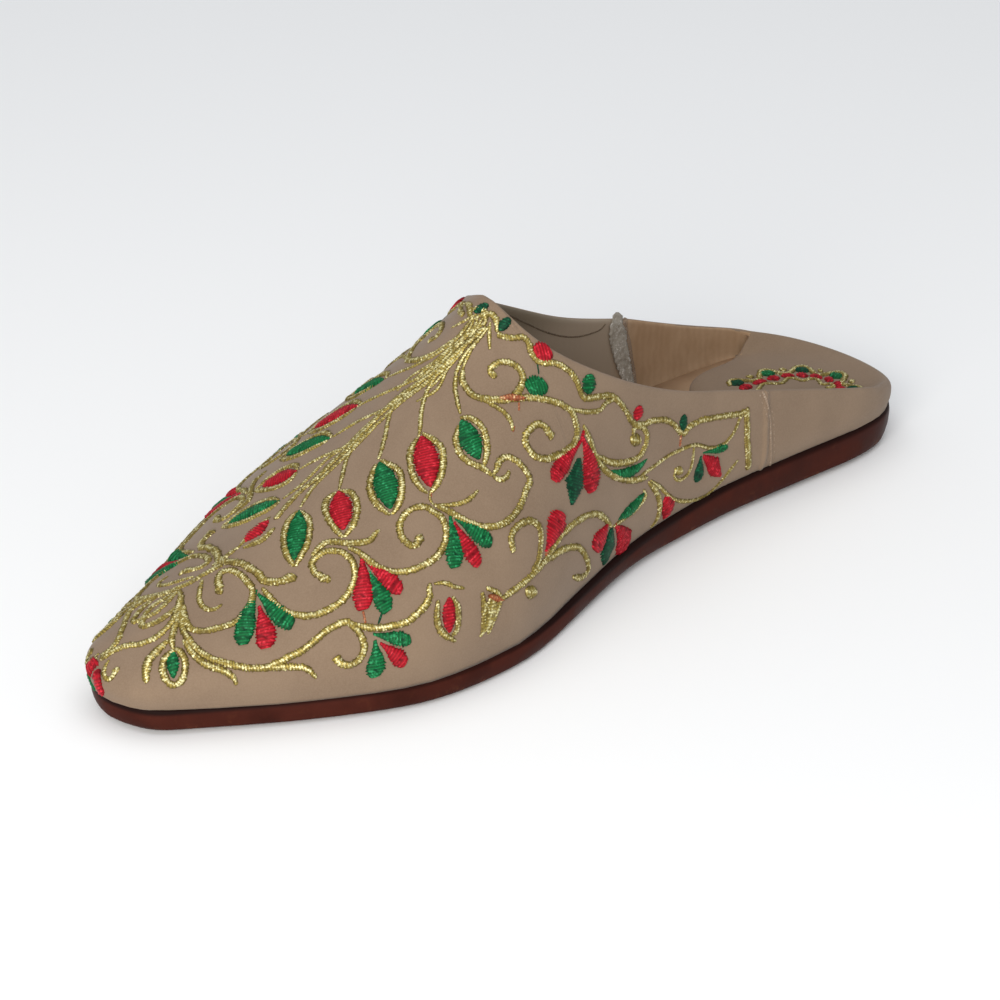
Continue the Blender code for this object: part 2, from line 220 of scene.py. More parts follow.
def newGroup(name, inputs, outputs):
    # a node group that takes the named kinds of socket and gives plain values
    group = bpy.data.node_groups.new(name, "ShaderNodeTree")
    for socketName, kind in inputs.items():
        group.interface.new_socket(socketName, in_out="INPUT", socket_type="NodeSocket" + kind)
    for socketName in outputs:
        group.interface.new_socket(socketName, in_out="OUTPUT", socket_type="NodeSocketFloat")
    return group, group.nodes.new("NodeGroupInput").outputs, group.nodes.new("NodeGroupOutput").inputs


# a nap or grain used by the nubuck, the lining, the sock, the sole and the tape
grainValues = {
    "fine": (3.0, 0.65),
    "coarse": (4.0, 0.55, 0.3),
    "pebble": (2.0, 0.5),
    "pebbleScale": 0.36,
    "fineShare": 0.6,
    "pebbleShare": 0.4,
    "shown": (0.3, 0.7),
}


def makeGrainGroup(values):
    group, entry, leave = newGroup("leatherGrain", {"Vector": "Vector", "Fine": "Float", "Coarse": "Float"},
        ("Height", "Fleck", "Cloud"))
    fine = noiseNode(group, entry["Vector"], entry["Fine"], *values["fine"])
    coarse = noiseNode(group, entry["Vector"], entry["Coarse"], *values["coarse"])
    pebbleScale = times(group, entry["Fine"], values["pebbleScale"])
    pebble = noiseNode(group, entry["Vector"], pebbleScale, *values["pebble"])
    height = plus(group, times(group, fine, values["fineShare"]), times(group, pebble, values["pebbleShare"]))
    feed(group, leave["Height"], height)
    feed(group, leave["Fleck"], rangeNode(group, fine, *values["shown"]))
    feed(group, leave["Cloud"], rangeNode(group, coarse, *values["shown"]))
    return group


grainGroup = makeGrainGroup(grainValues)


def placeGrain(tree, vector, fine, coarse):
    sockets = {"Vector": vector, "Fine": fine, "Coarse": coarse}
    node = makeNode(tree, "ShaderNodeGroup", sockets, node_tree=grainGroup)
    return node.outputs["Height"], node.outputs["Fleck"], node.outputs["Cloud"]


nubuckValues = {
    "colour": (0.225, 0.155, 0.1),
    "darker": (0.195, 0.132, 0.084),
    "fleck": (0.275, 0.196, 0.133),
    "fleckShare": 0.35,
    "grain": (2400.0, 55.0),
    "uneven": (26.0, 2.0, 0.4),
    "grainHigh": 0.1,
    "unevenHigh": 1.4,
    "bump": (0.35, 0.0016),
    "shader": {"Roughness": 0.88, "Sheen Weight": 0.12, "Sheen Roughness": 0.5, "Specular IOR Level": 0.25},
}


def makeNubuck(values):
    material, tree, place = newMaterial("nubuck")
    height, fleck, cloud = placeGrain(tree, place, *values["grain"])
    base = mixColours(tree, cloud, values["darker"], values["colour"])
    napped = mixColours(tree, times(tree, fleck, values["fleckShare"]), base, values["fleck"])
    uneven = noiseNode(tree, place, *values["uneven"])
    relief = plus(tree, times(tree, height, values["grainHigh"]), times(tree, uneven, values["unevenHigh"]))
    bump = bumpNode(tree, relief, *values["bump"])
    finishShader(tree, {"Base Color": napped, "Normal": bump, **values["shader"]})
    return material


liningValues = {
    "tan": (0.4, 0.262, 0.155),
    "tanDark": (0.33, 0.206, 0.115),
    # the vamp's lining is greyer than the tan behind it; its top band gets painted shade where the wall leans
    # in under the collar, and it is lighter lower down
    "front": (0.215, 0.172, 0.117),
    "low": (0.34, 0.27, 0.2),
    "paintedShadeHeights": (0.052, 0.04),
    "frontAt": (-0.073, -0.062),
    "grain": (1500.0, 130.0),
    "figure": {"Scale": 120.0, "Distortion": 5.0, "Detail": 3.0, "Detail Scale": 1.6},
    "figureShare": 0.3,
    "cloudShare": 0.7,
    "figureHigh": 0.25,
    "bump": (0.3, 0.0002),
    "shader": {"Roughness": 0.62, "Specular IOR Level": 0.3},
}


def makeLining(values):
    material, tree, place = newMaterial("liningLeather")
    height, fleck, cloud = placeGrain(tree, place, *values["grain"])
    figure = bandsNode(tree, place, values["figure"])
    figured = plus(tree, times(tree, figure, values["figureShare"]), times(tree, cloud, values["cloudShare"]))
    tan = mixColours(tree, figured, values["tanDark"], values["tan"])
    # painted shade: the vamp's lining darkens towards its top edge
    belowPaintedShade = rangeNode(tree, axisOf(tree, place, "Z"), *values["paintedShadeHeights"])
    frontColour = mixColours(tree, belowPaintedShade, values["front"], values["low"])
    frontShare = rangeNode(tree, axisOf(tree, place, "X"), *values["frontAt"])
    colour = mixColours(tree, frontShare, tan, frontColour)
    bump = bumpNode(tree, plus(tree, height, times(tree, figure, values["figureHigh"])), *values["bump"])
    finishShader(tree, {"Base Color": colour, "Normal": bump, **values["shader"]})
    return material


soleValues = {
    "colour": (0.058, 0.013, 0.0078),
    "dark": (0.036, 0.008, 0.0048),
    "scuff": (0.16, 0.055, 0.022),
    # painted shadow: the top of the sole's side turns near black, standing in for the shaded gap under the
    # upper
    "edge": (0.012, 0.004, 0.003),
    "grain": (900.0, 70.0),
    "topAlong": (-0.085, 0.02, 0.0112, 0.0068),  # where the sole thins, and its top there and beyond
    "rub": (260.0, 5.0, 0.7, 0.6),
    "rubAt": (0.56, 0.72),
    "rubLow": (0.1, 0.55, 1.0, 0.12),
    "rubShare": 0.7,
    "gapShadowAt": (0.78, 0.96),
    "tread": {"Scale": 130.0},
    "treadUnder": (0.0006, 0.0014, 1.0, 0.0),
    "grainHigh": 0.2,
    "bump": (0.9, 0.0004),
    "roughness": (0.0, 1.0, 0.4, 0.6),
    "shader": {"Specular IOR Level": 0.05},
}


def makeSole(values):
    material, tree, place = newMaterial("soleRubber")
    height, fleck, cloud = placeGrain(tree, place, *values["grain"])
    base = mixColours(tree, cloud, values["dark"], values["colour"])
    topHere = rangeNode(tree, axisOf(tree, place, "X"), *values["topAlong"])
    share = mathNode(tree, "DIVIDE", axisOf(tree, place, "Z"), topHere)
    rub = rangeNode(tree, noiseNode(tree, place, *values["rub"]), *values["rubAt"])
    rubbed = times(tree, rub, rangeNode(tree, share, *values["rubLow"]))
    coloured = mixColours(tree, times(tree, rubbed, values["rubShare"]), base, values["scuff"])
    # painted shadow of the gap under the upper, along the top of the sole
    gapShadowed = mixColours(tree, rangeNode(tree, share, *values["gapShadowAt"]), coloured, values["edge"])
    under = rangeNode(tree, axisOf(tree, place, "Z"), *values["treadUnder"])
    tread = times(tree, bandsNode(tree, place, values["tread"]), under)
    bump = bumpNode(tree, plus(tree, times(tree, height, values["grainHigh"]), tread), *values["bump"])
    roughness = rangeNode(tree, cloud, *values["roughness"])
    finishShader(tree, {"Base Color": gapShadowed, "Normal": bump, "Roughness": roughness, **values["shader"]})
    return material


insoleValues = {
    "colour": (0.5, 0.335, 0.205),
    "dark": (0.39, 0.25, 0.148),
    "grain": (1300.0, 45.0),
    "bump": (0.3, 0.0003),
    "shader": {"Roughness": 0.6, "Specular IOR Level": 0.3},
}


def makeInsole(values):
    material, tree, place = newMaterial("insoleLeather")
    height, fleck, cloud = placeGrain(tree, place, *values["grain"])
    colour = mixColours(tree, cloud, values["dark"], values["colour"])
    bump = bumpNode(tree, height, *values["bump"])
    finishShader(tree, {"Base Color": colour, "Normal": bump, **values["shader"]})
    return material


nubuck = makeNubuck(nubuckValues)
lining = makeLining(liningValues)
soleRubber = makeSole(soleValues)
insoleLeather = makeInsole(insoleValues)
print("scene: leather and rubber finishes are made")

# the floor is plain and pale, and wide enough for every view
floorValues = {
    "size": 6.0,
    "colour": (0.95, 0.95, 0.94),
    "cloudScale": 3.0,
    "roughness": (0.0, 1.0, 0.85, 0.95),
}


def makeFloor(values):
    bpy.ops.object.select_all(action="DESELECT")
    bpy.ops.mesh.primitive_plane_add(size=values["size"], location=(0, 0, 0))
    floor = bpy.context.object
    floor.name = "paleFloor"
    material, tree, place = newMaterial("paleFloor")
    roughness = rangeNode(tree, noiseNode(tree, place, values["cloudScale"]), *values["roughness"])
    finishShader(tree, {"Base Color": values["colour"], "Roughness": roughness})
    floor.data.materials.append(material)


makeFloor(floorValues)

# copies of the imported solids, merged and rounded for a close look
copyValues = {"merge": 0.00001, "faceThreshold": 0.9, "shapeThreshold": 1.2, "sideFaces": 0.5}


def creaseFaces(piece, wanted, move):
    # moves the wanted faces and keeps their edges sharp in the rounding
    pickFaces(piece, wanted)
    move()
    bpy.ops.transform.edge_crease(value=1)
    bpy.ops.object.mode_set(mode="OBJECT")


def copyNode(nodeName, pieceName, levels, sink=None, spread=0):
    bpy.ops.object.select_all(action="DESELECT")
    piece = bpy.data.objects.new(pieceName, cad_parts[nodeName].data.copy())
    bpy.context.scene.collection.objects.link(piece)
    selectOnly(piece)
    bpy.ops.mesh.customdata_custom_splitnormals_clear()
    bpy.ops.object.mode_set(mode="EDIT")
    bpy.ops.mesh.select_all(action="SELECT")
    bpy.ops.mesh.remove_doubles(threshold=copyValues["merge"])
    bpy.ops.mesh.tris_convert_to_quads(face_threshold=copyValues["faceThreshold"],
        shape_threshold=copyValues["shapeThreshold"])
    bpy.ops.mesh.select_all(action="DESELECT")
    bpy.ops.object.mode_set(mode="OBJECT")
    if sink:
        # the lower edge is pressed into what is below it, so no light comes through
        creaseFaces(piece,
            lambda face: face.normal.z < sink["bottomDown"] and face.center.z < sink["bottomTop"],
            lambda: bpy.ops.transform.translate(value=(0, 0, -sink["sinkDepth"])))
    if spread:
        # the side faces move outwards, so the sock reaches the walls all round
        creaseFaces(piece, lambda face: abs(face.normal.z) < copyValues["sideFaces"],
            lambda: bpy.ops.transform.shrink_fatten(value=spread))
    smooth = piece.modifiers.new("rounding", "SUBSURF")
    smooth.levels = levels
    smooth.render_levels = levels
    applyModifiers(piece)
    bpy.ops.object.shade_smooth()
    piece.data.materials.clear()
    return piece


upperValues = {
    "levels": 2,
    "axisLow": -0.108,
    "axisHigh": 0.11,
    "axisHeight": 0.01,
    "heelMiddle": -0.00875,
    "middleFrom": -0.06,
    "middleTo": 0.03,
    "foldFront": -0.1125,
    "foldBack": -0.1255,
    "foldUnder": -0.2,
    "foldSlope": 0.45,
    "sinkDepth": 0.0011,
    "bottomTop": 0.0135,
    "bottomDown": -0.7,
}


def middleAt(x):
    # the inside's middle swings from the heel to the toe
    share = (x - upperValues["middleFrom"]) / (upperValues["middleTo"] - upperValues["middleFrom"])
    share = min(max(share, 0.0), 1.0)
    return upperValues["heelMiddle"] * (1 - share * share * (3 - 2 * share))


def facesOutwards(centre, normal):
    x = min(max(centre.x, upperValues["axisLow"]), upperValues["axisHigh"])
    axisPoint = Vector((x, middleAt(centre.x), upperValues["axisHeight"]))
    slope = upperValues["foldUnder"] if centre.x < upperValues["foldBack"] else upperValues["foldSlope"]
    onFold = centre.x < upperValues["foldFront"] and normal.z > slope
    return onFold or (centre - axisPoint).dot(normal) > 0


def makeUpper():
    upper = copyNode("upper", "upperLeather", upperValues["levels"], upperValues)
    upper.data.materials.append(nubuck)
    upper.data.materials.append(lining)
    for face in upper.data.polygons:
        face.material_index = 0 if facesOutwards(face.center, face.normal) else 1
    declare(upper, "upper")
    return upper


lowPieceValues = {"levels": 1, "sockSpread": 0.0022}


def makeLowPiece(nodeName, pieceName, material, spread=0):
    piece = copyNode(nodeName, pieceName, lowPieceValues["levels"], spread=spread)
    piece.data.materials.append(material)
    declare(piece, nodeName)
    return piece


upperPiece = makeUpper()
outsolePiece = makeLowPiece("outsole", "moulded_sole", soleRubber)
insolePiece = makeLowPiece("insole", "sock", insoleLeather, lowPieceValues["sockSpread"])
for piece in (upperPiece, outsolePiece, insolePiece):
    print("scene:", piece.name, "faces", len(piece.data.polygons))

# the embroidery is charted in spots of the photo, then laid on the leather below them
middleChart = [(487, 312), (470, 335), (448, 358), (425, 380), (400, 400), (375, 422), (352, 445),
    (330, 463), (308, 485), (288, 505), (270, 520), (250, 538), (230, 553), (212, 568), (180, 590),
    (160, 605), (140, 622), (120, 641), (104, 656)]

goldChart = {
    "toeBorderNear": [(180, 598), (178, 608), (172, 622), (165, 630), (155, 638), (140, 644),
        (125, 646), (112, 652), (100, 660)],
    "toeBorderFar": [(222, 565), (212, 570), (200, 577), (190, 583), (178, 588), (165, 594), (152, 598),
        (140, 604), (130, 612), (124, 625), (118, 640), (110, 650), (100, 657)],
    "toeLoop": [(178, 592), (164, 599), (150, 609), (144, 618), (142, 626), (150, 625), (160, 620),
        (170, 613), (177, 606)],
    "toeCurl": [(109, 660), (105, 667), (104, 675), (108, 680), (113, 676), (116, 669), (119, 672)],
    "toeLeafEdge": [(174, 650), (164, 660), (163, 672), (168, 682), (175, 685), (182, 680), (185, 670),
        (184, 658), (178, 650), (174, 650)],
    "toeLeafStem": [(174, 650), (172, 640), (175, 628), (180, 612), (181, 598), (180, 590)],
    "toeStroke": [(168, 640), (158, 650), (149, 660), (146, 672), (147, 684)],
    "lowStemOne": [(182, 605), (182, 625), (187, 637), (196, 648), (206, 656), (218, 661), (232, 665),
        (248, 668), (262, 668), (278, 667), (290, 667), (305, 668), (313, 674), (317, 678)],
    "lowStemTwo": [(183, 640), (192, 652), (203, 663), (215, 668), (226, 672), (234, 678), (237, 686)],
    "spiralOne": [(184, 605), (184, 615), (188, 625), (193, 630), (205, 631), (218, 628), (232, 624),
        (243, 615), (251, 603), (253, 592), (250, 585), (243, 577), (236, 572), (228, 570), (220, 574),
        (218, 582), (221, 590)],
    "leftCurl": [(202, 580), (200, 590), (199, 600), (203, 607), (210, 610), (217, 608), (222, 604)],
    "topArc": [(212, 566), (222, 562), (232, 562), (245, 565), (252, 570), (258, 573), (263, 580),
        (272, 582), (283, 581), (290, 578), (295, 575)],
    "spiralTwo": [(262, 588), (270, 598), (280, 608), (292, 614), (305, 616), (318, 614), (330, 609),
        (342, 601), (350, 591), (355, 578), (354, 565), (348, 556), (338, 551), (328, 551), (318, 556),
        (312, 563), (314, 572), (320, 576), (326, 580)],
    "spiralTwoTail": [(312, 556), (318, 549), (328, 542), (345, 543), (358, 543), (370, 540),
        (376, 533), (380, 529)],
    "spiralThree": [(348, 548), (358, 552), (366, 558), (376, 566), (388, 571), (400, 572), (412, 570),
        (424, 565), (434, 559), (441, 551), (446, 540), (446, 528), (442, 518), (434, 512), (426, 507),
        (415, 508), (405, 514), (400, 524), (401, 535), (407, 543), (414, 546), (419, 541), (419, 535)],
    "lowWave": [(262, 668), (280, 662), (290, 656), (300, 652), (312, 643), (325, 632), (335, 626),
        (347, 622), (355, 628), (361, 636), (364, 645), (362, 655), (356, 662), (346, 665), (338, 661),
        (336, 655)],
    "lowLine": [(352, 623), (364, 627), (378, 628), (392, 626), (405, 623), (415, 616), (424, 607),
        (429, 598), (430, 585)],
    "hook": [(434, 505), (442, 508), (452, 513), (464, 520), (476, 525), (488, 527), (500, 525),
        (509, 520), (517, 511), (522, 502), (526, 490), (530, 480), (525, 470), (518, 462), (508, 457),
        (500, 460), (497, 468), (493, 476)],
    "hookTail": [(438, 505), (452, 505), (464, 502), (472, 497), (478, 490)],
    "budLeft": [(438, 600), (437, 618), (440, 630), (448, 637), (456, 641)],
    "budRight": [(452, 597), (457, 605), (458, 618), (457, 630), (452, 636)],
    "budTop": [(430, 583), (429, 592), (434, 598)],
    "budBar": [(434, 584), (445, 583), (455, 587), (465, 588)],
    "wedgeLeft": [(482, 592), (484, 606), (484, 620), (483, 630), (480, 638)],
    "wedgeRight": [(486, 588), (496, 592), (500, 598), (498, 606), (494, 616), (491, 626), (488, 634)],
    "lowBranch": [(500, 600), (506, 596), (514, 590), (522, 584), (530, 577), (538, 569), (545, 561),
        (553, 556), (560, 551), (572, 547), (581, 549), (587, 560), (588, 570), (582, 577), (572, 577)],
    "sideBranch": [(545, 561), (560, 537), (568, 529), (576, 522), (586, 516), (597, 514), (605, 519),
        (612, 527)],
    "arch": [(514, 552), (511, 540), (514, 530), (522, 523), (532, 521), (539, 527), (541, 537),
        (540, 550), (538, 562), (532, 572)],
    "throatKnot": [(474, 320), (480, 316), (490, 314), (496, 320), (497, 332)],
    "collarWave": [(497, 334), (505, 337), (515, 338), (523, 337), (529, 344), (531, 352), (537, 361),
        (545, 363), (555, 363), (565, 368), (572, 374), (577, 382), (580, 391), (584, 398), (592, 398),
        (602, 396), (612, 396), (618, 401), (623, 407), (627, 413), (630, 419), (634, 424), (642, 425),
        (652, 421), (664, 420), (672, 423), (677, 428), (681, 433), (685, 433), (688, 428), (694, 424),
        (702, 420), (712, 418), (725, 416), (738, 414), (746, 411)],
    "seamBar": [(746, 408), (747, 425), (747, 440), (748, 455), (748, 469)],
    "longLeafTop": [(746, 411), (740, 418), (736, 428), (730, 438), (722, 445), (710, 448), (698, 445),
        (690, 446), (680, 450), (668, 456), (657, 464), (646, 472), (636, 480)],
    "smallBranch": [(694, 445), (693, 458), (690, 470), (684, 478), (677, 480), (674, 475), (676, 470)],
    "longLeafLow": [(738, 460), (730, 470), (722, 480), (710, 492), (700, 498), (688, 501), (676, 500),
        (668, 495), (660, 487), (650, 480)],
    "scrollOuter": [(583, 425), (590, 440), (594, 452), (600, 464), (608, 473), (618, 478), (630, 480),
        (640, 479), (648, 477)],
    "scrollInner": [(596, 455), (604, 460), (612, 463), (622, 463), (634, 460), (641, 454), (645, 446),
        (647, 436), (643, 427), (636, 426), (633, 431), (634, 438)],
    "spiralFour": [(463, 368), (462, 380), (467, 389), (476, 397), (490, 399), (505, 400), (520, 398),
        (535, 398), (548, 400), (560, 404), (570, 410), (575, 420), (577, 432), (574, 443), (566, 451),
        (556, 456), (545, 459), (535, 456), (528, 448), (525, 438), (529, 430), (537, 424), (544, 426),
        (549, 433), (553, 438)],
    "linkToWave": [(571, 409), (580, 411), (590, 412), (600, 410), (606, 403), (612, 400), (618, 401)],
    "innerStroke": [(476, 397), (488, 402), (498, 408), (506, 414), (511, 422), (513, 431)],
    "spiralFive": [(494, 378), (490, 372), (491, 368), (500, 362), (511, 363), (520, 370), (523, 378),
        (520, 388), (514, 397)],
    "lastLeafEdge": [(613, 527), (622, 520), (632, 513), (640, 505), (646, 495), (643, 490)],
    "lastLeafCurve": [(648, 482), (655, 490), (659, 500), (659, 512), (655, 522), (650, 528)],
    "leafOneRight": [(460, 418), (470, 418), (479, 424), (485, 434), (487, 446), (486, 458), (483, 468)],
    "leafOneLeft": [(459, 425), (456, 440), (459, 452), (466, 460), (475, 465), (483, 468), (493, 476)],
    "leafTwoRight": [(422, 433), (432, 439), (441, 447), (443, 460), (441, 475), (436, 486), (430, 493)],
    "leafTwoLeft": [(417, 438), (411, 450), (410, 463), (413, 476), (420, 487), (428, 493)],
    "leafThreeRight": [(380, 460), (390, 465), (399, 471), (402, 483), (401, 497), (397, 508), (391, 515)],
    "leafThreeLeft": [(376, 464), (371, 478), (370, 490), (375, 502), (383, 510), (391, 515)],
    "leafFourRight": [(340, 491), (350, 492), (356, 500), (357, 512), (353, 525), (344, 538)],
    "leafFourLeft": [(337, 492), (328, 498), (325, 508), (329, 520), (337, 531), (344, 538)],
    "leafFiveRight": [(300, 511), (308, 518), (310, 530), (307, 545), (301, 556), (295, 567)],
    "leafFiveLeft": [(298, 511), (289, 520), (284, 535), (285, 549), (290, 560), (295, 567)],
    "leafOneStem": [(489, 326), (478, 340), (466, 353), (458, 368), (455, 385), (457, 400), (461, 415)],
    "leafTwoStem": [(486, 326), (468, 343), (452, 356), (440, 370), (430, 385), (424, 400), (421, 415),
        (420, 430), (418, 438)],
    "leafThreeStem": [(462, 352), (440, 372), (420, 387), (402, 399), (392, 409), (388, 422),
        (385, 437), (381, 452), (378, 460)],
    "leafFourStem": [(420, 388), (398, 405), (376, 425), (360, 440), (350, 452), (345, 465), (342, 477),
        (339, 490)],
    "leafFiveStem": [(376, 426), (355, 447), (335, 466), (320, 480), (312, 489), (306, 498), (300, 508)],
    "bundleOne": [(486, 322), (466, 336), (448, 350), (430, 366), (414, 379)],
    "bundleTwo": [(490, 322), (489, 335), (490, 350)],
    "bundleThree": [(481, 336), (472, 348), (466, 360), (462, 371)],
    "middleBudFar": [(240, 546), (255, 530), (270, 517)],
    "middleBudNear": [(243, 548), (262, 540), (275, 527)],
    "middleBudTail": [(240, 546), (228, 555), (218, 563)],
    "stalk": [(484, 328), (460, 350), (440, 368), (420, 382), (400, 396), (385, 410), (370, 425),
        (352, 445), (335, 460), (318, 477), (300, 492), (285, 508), (275, 520)],
    "bundleFour": [(483, 318), (458, 344), (434, 362), (412, 376), (396, 392)],
    "bundleFive": [(478, 330), (452, 356), (430, 372), (408, 390), (384, 412)],
    "bundleSix": [(470, 340), (444, 362), (420, 381), (396, 402), (372, 421), (350, 441)],
    "throatCurl": [(466, 303), (470, 307), (470, 314), (473, 320)],
    "hookCurl": [(493, 476), (500, 480), (507, 476), (509, 469)],
    "leafTwoTip": [(430, 493), (430, 500), (434, 505)],
    "tipBandMiddle": [(98, 658), (90, 661), (84, 668)],
}
# half widths in mm where a line isn't the usual one, and the lines that are sewn once
goldUsual = 0.95
goldHalf = {
    1.25: ("toeStroke",), 1.15: ("topArc",), 1.1: ("seamBar",), 1.0: ("arch", "spiralFour"),
    0.9: ("stalk", "collarWave"), 0.75: ("leftCurl",),
    0.7: ("linkToWave", "budBar", "hookTail", "toeCurl", "innerStroke", "lastLeafEdge"),
    0.65: ("longLeafLow", "leafOneStem", "leafTwoStem", "leafThreeStem", "leafFourStem", "leafFiveStem"),
    0.6: ("longLeafTop", "smallBranch", "bundleOne", "bundleTwo", "bundleThree"),
    0.55: ("bundleFour", "bundleFive", "bundleSix"), 0.5: ("leafTwoTip",),
}
halfOfLine = {name: half for half, names in goldHalf.items() for name in names}
sewnOnce = ("toeBorderNear", "toeBorderFar", "stalk", "bundleSix", "throatCurl", "middleBudFar",
    "middleBudNear", "middleBudTail", "tipBandMiddle")

# filled shapes: colour, kind, spots along the middle, half width in spots of the photo
satinChart = {
    "flowerOne": [("green", "petal", [(256, 590), (246, 620), (243, 645)], 9),
        ("green", "petal", [(258, 594), (278, 614), (294, 626)], 9),
        ("red", "petal", [(259, 606), (265, 630), (266, 650)], 9)],
    "flowerTwo": [("red", "petal", [(362, 556), (363, 585), (363, 611)], 9),
        ("red", "petal", [(366, 562), (386, 578), (402, 592)], 7.8),
        ("green", "petal", [(369, 572), (380, 594), (388, 612)], 8.6)],
    "flowerThree": [("green", "petal", [(373, 634), (393, 638), (412, 640)], 6.6),
        ("red", "petal", [(380, 643), (394, 654), (406, 665)], 7.4),
        ("green", "petal", [(375, 640), (376, 660), (375, 677)], 8.4)],
    "flowerFour": [("green", "petal", [(450, 516), (454, 545), (455, 569)], 8.2),
        ("red", "petal", [(454, 522), (468, 548), (480, 566)], 8),
        ("green", "petal", [(455, 518), (475, 532), (492, 544)], 8.2)],
    "flowerFive": [("green", "petal", [(703, 453), (715, 450), (728, 446)], 3.8),
        ("red", "diamond", [(703, 456), (712, 465), (721, 476)], 8.5),
        ("darkGreen", "petal", [(701, 456), (699, 468), (698, 482)], 4.5)],
    "flowerSix": [("red", "petal", [(582, 440), (565, 460), (553, 482)], 8),
        ("red", "petal", [(583, 438), (590, 465), (592, 492)], 9),
        ("darkGreen", "diamond", [(579, 458), (575, 482), (572, 505)], 9.5)],
    "flowerSeven": [("red", "petal", [(608, 523), (601, 537), (594, 552)], 8),
        ("darkGreen", "diamond", [(611, 528), (608, 547), (604, 564)], 9),
        ("red", "petal", [(615, 525), (622, 537), (624, 551)], 8)],
    "leafFills": [("green", "leaf", [(461, 420), (470, 440), (480, 460)], 10.5),
        ("red", "leaf", [(421, 436), (427, 462), (431, 488)], 11.5),
        ("green", "leaf", [(379, 462), (386, 486), (391, 509)], 11),
        ("red", "leaf", [(338, 491), (341, 510), (344, 530)], 10.5),
        ("green", "leaf", [(299, 510), (297, 536), (294, 561)], 9.5),
        ("green", "leaf", [(171, 650), (173, 665), (174, 680)], 5.5)],
    "buds": [("red", "leaf", [(449, 597), (449, 615), (450, 633)], 6.8),
        ("red", "petal", [(546, 552), (553, 534), (561, 511)], 8.5),
        ("red", "leaf", [(664, 498), (668, 509), (663, 520)], 6),
        ("gold", "leaf", [(492, 594), (490, 612), (484, 634)], 7)],
    "throatDots": [("darkGreen", "dot", [(475, 313), (488, 303)], 5),
        ("darkGreen", "dot", [(500, 331), (509, 317)], 5)],
    "collarDots": [("red", "dot", [(534, 353), (552, 352)], 10),
        ("green", "dot", [(526, 388), (547, 385)], 10), ("green", "dot", [(589, 374), (589, 394)], 8),
        ("red", "dot", [(638, 406), (638, 421)], 7), ("darkGreen", "dot", [(683, 415), (683, 432)], 5.5)],
    "scrollFills": [("green", "leaf", [(610, 471), (622, 474), (636, 469), (648, 458)], 4.5),
        ("gold", "dot", [(630, 440), (641, 440)], 6), ("gold", "dot", [(489, 374), (497, 375)], 4),
        ("gold", "dot", [(525, 592), (537, 592)], 6), ("gold", "dot", [(215, 590), (224, 592)], 4),
        ("gold", "dot", [(323, 578), (331, 580)], 4), ("gold", "dot", [(674, 471), (683, 471)], 4.5),
        ("green", "leaf", [(645, 492), (632, 508), (618, 520)], 4)],
    "links": [("orange", "line", [(363, 611), (366, 625)], 1),
        ("darkGreen", "line", [(382, 613), (378, 625)], 1),
        ("darkGreen", "line", [(537, 361), (539, 375)], 0.8),
        ("orange", "line", [(681, 434), (680, 448)], 1), ("orange", "line", [(519, 402), (519, 412)], 0.9),
        ("orange", "line", [(514, 426), (513, 433)], 1.1),
        ("orange", "line", [(431, 492), (431, 499)], 0.9),
        ("orange", "line", [(546, 556), (550, 543)], 1.6), ("red", "line", [(584, 430), (581, 442)], 1.6)],
    "knots": [("orange", "over", [(499, 399), (512, 398), (525, 399)], 3.6),
        ("orange", "over", [(488, 596), (495, 598), (502, 600)], 3.2)],
    "tipBands": [("red", "line", [(97, 660), (92, 665), (88, 671)], 4.5),
        ("green", "line", [(88, 673), (91, 682), (96, 691)], 3.2),
        ("red", "line", [(96, 671), (98, 684), (104, 697)], 3.6)],
    "middleBud": [("red", "leaf", [(268, 520), (256, 532), (243, 543)], 5)],
}
satinOnce = ("middleBud", "tipBands", "throatDots", "knots")
thickEnds = ("spiralOne", "spiralTwo", "spiralThree", "spiralFour", "spiralFive", "lowWave", "topArc",
    "toeCurl")
evenEnds = ("seamBar", "collarWave", "stalk", "toeBorderNear", "toeBorderFar", "toeLeafEdge", "arch")

# the folded-down back carries one small motif: a scalloped line and one inside it, in mm
flapValues = {
    "line": [(-95, -18.8), (-104, -18.6), (-112.5, -16.8), (-119, -12.6), (-122.8, -6), (-123.5, 0),
        (-120.5, 6), (-113, 9), (-104, 9.8), (-95, 9.5)],
    "lineStep": 1.0,
    "high": 0.03,
    "waves": 6.5,
    "turns": 160,
    "outer": {"off": 0.0, "swing": 2.5, "half": 0.001},
    "inner": {"off": -6.4, "swing": -1.2, "half": 0.00075},
    "greenLeaf": {"off": 0.1, "half": 2.1, "long": 0.9},
    "redLeaf": {"off": -3.6, "half": 1.75, "long": 0.9},
    "knob": {"off": 0.8, "half": 1.2, "long": 0.35},
    "greens": ("darkGreen", "green"),
}


def chartPath(spots, step):
    # a smooth line through the chart's spots, bent as a spline through four of them at a time
    ends = [Vector(spot) for spot in (spots[0], *spots, spots[-1])]
    path = []
    for index in range(1, len(ends) - 2):
        before, start, stop, after = ends[index - 1:index + 3]
        count = max(1, round((stop - start).length / step))
        for part in range(count):
            t = part / count
            bend = (start * 2 + (stop - before) * t + (before * 2 - start * 5 + stop * 4 - after) * t * t
                + (start * 3 - before - stop * 3 + after) * t * t * t)
            path.append(bend / 2)
    path.append(ends[-1])
    return path


def skinOf(piece, slotIndex):
    # the leather's faces of one finish, as a surface to lay things on
    corners = [vertex.co.copy() for vertex in piece.data.vertices]
    faces = [tuple(face.vertices) for face in piece.data.polygons if face.material_index == slotIndex]
    return BVHTree.FromPolygons(corners, faces)


outerSkin = skinOf(upperPiece, 0)
missAim = Vector((0, 0, 0.03))  # until a first ray hits, the leather is taken to be as far away as this
tiny = 0.0000001


def castSpots(path, skin):
    eye = cameraValues["place"]
    places = []
    depth = (eye - missAim).length
    for spot in path:
        ray = photoRay(spot)
        place, normal, face, distance = skin.ray_cast(eye, ray)
        if place is None:
            place = skin.find_nearest(eye + ray * depth)[0]
        else:
            depth = distance
        places.append(place)
    return places


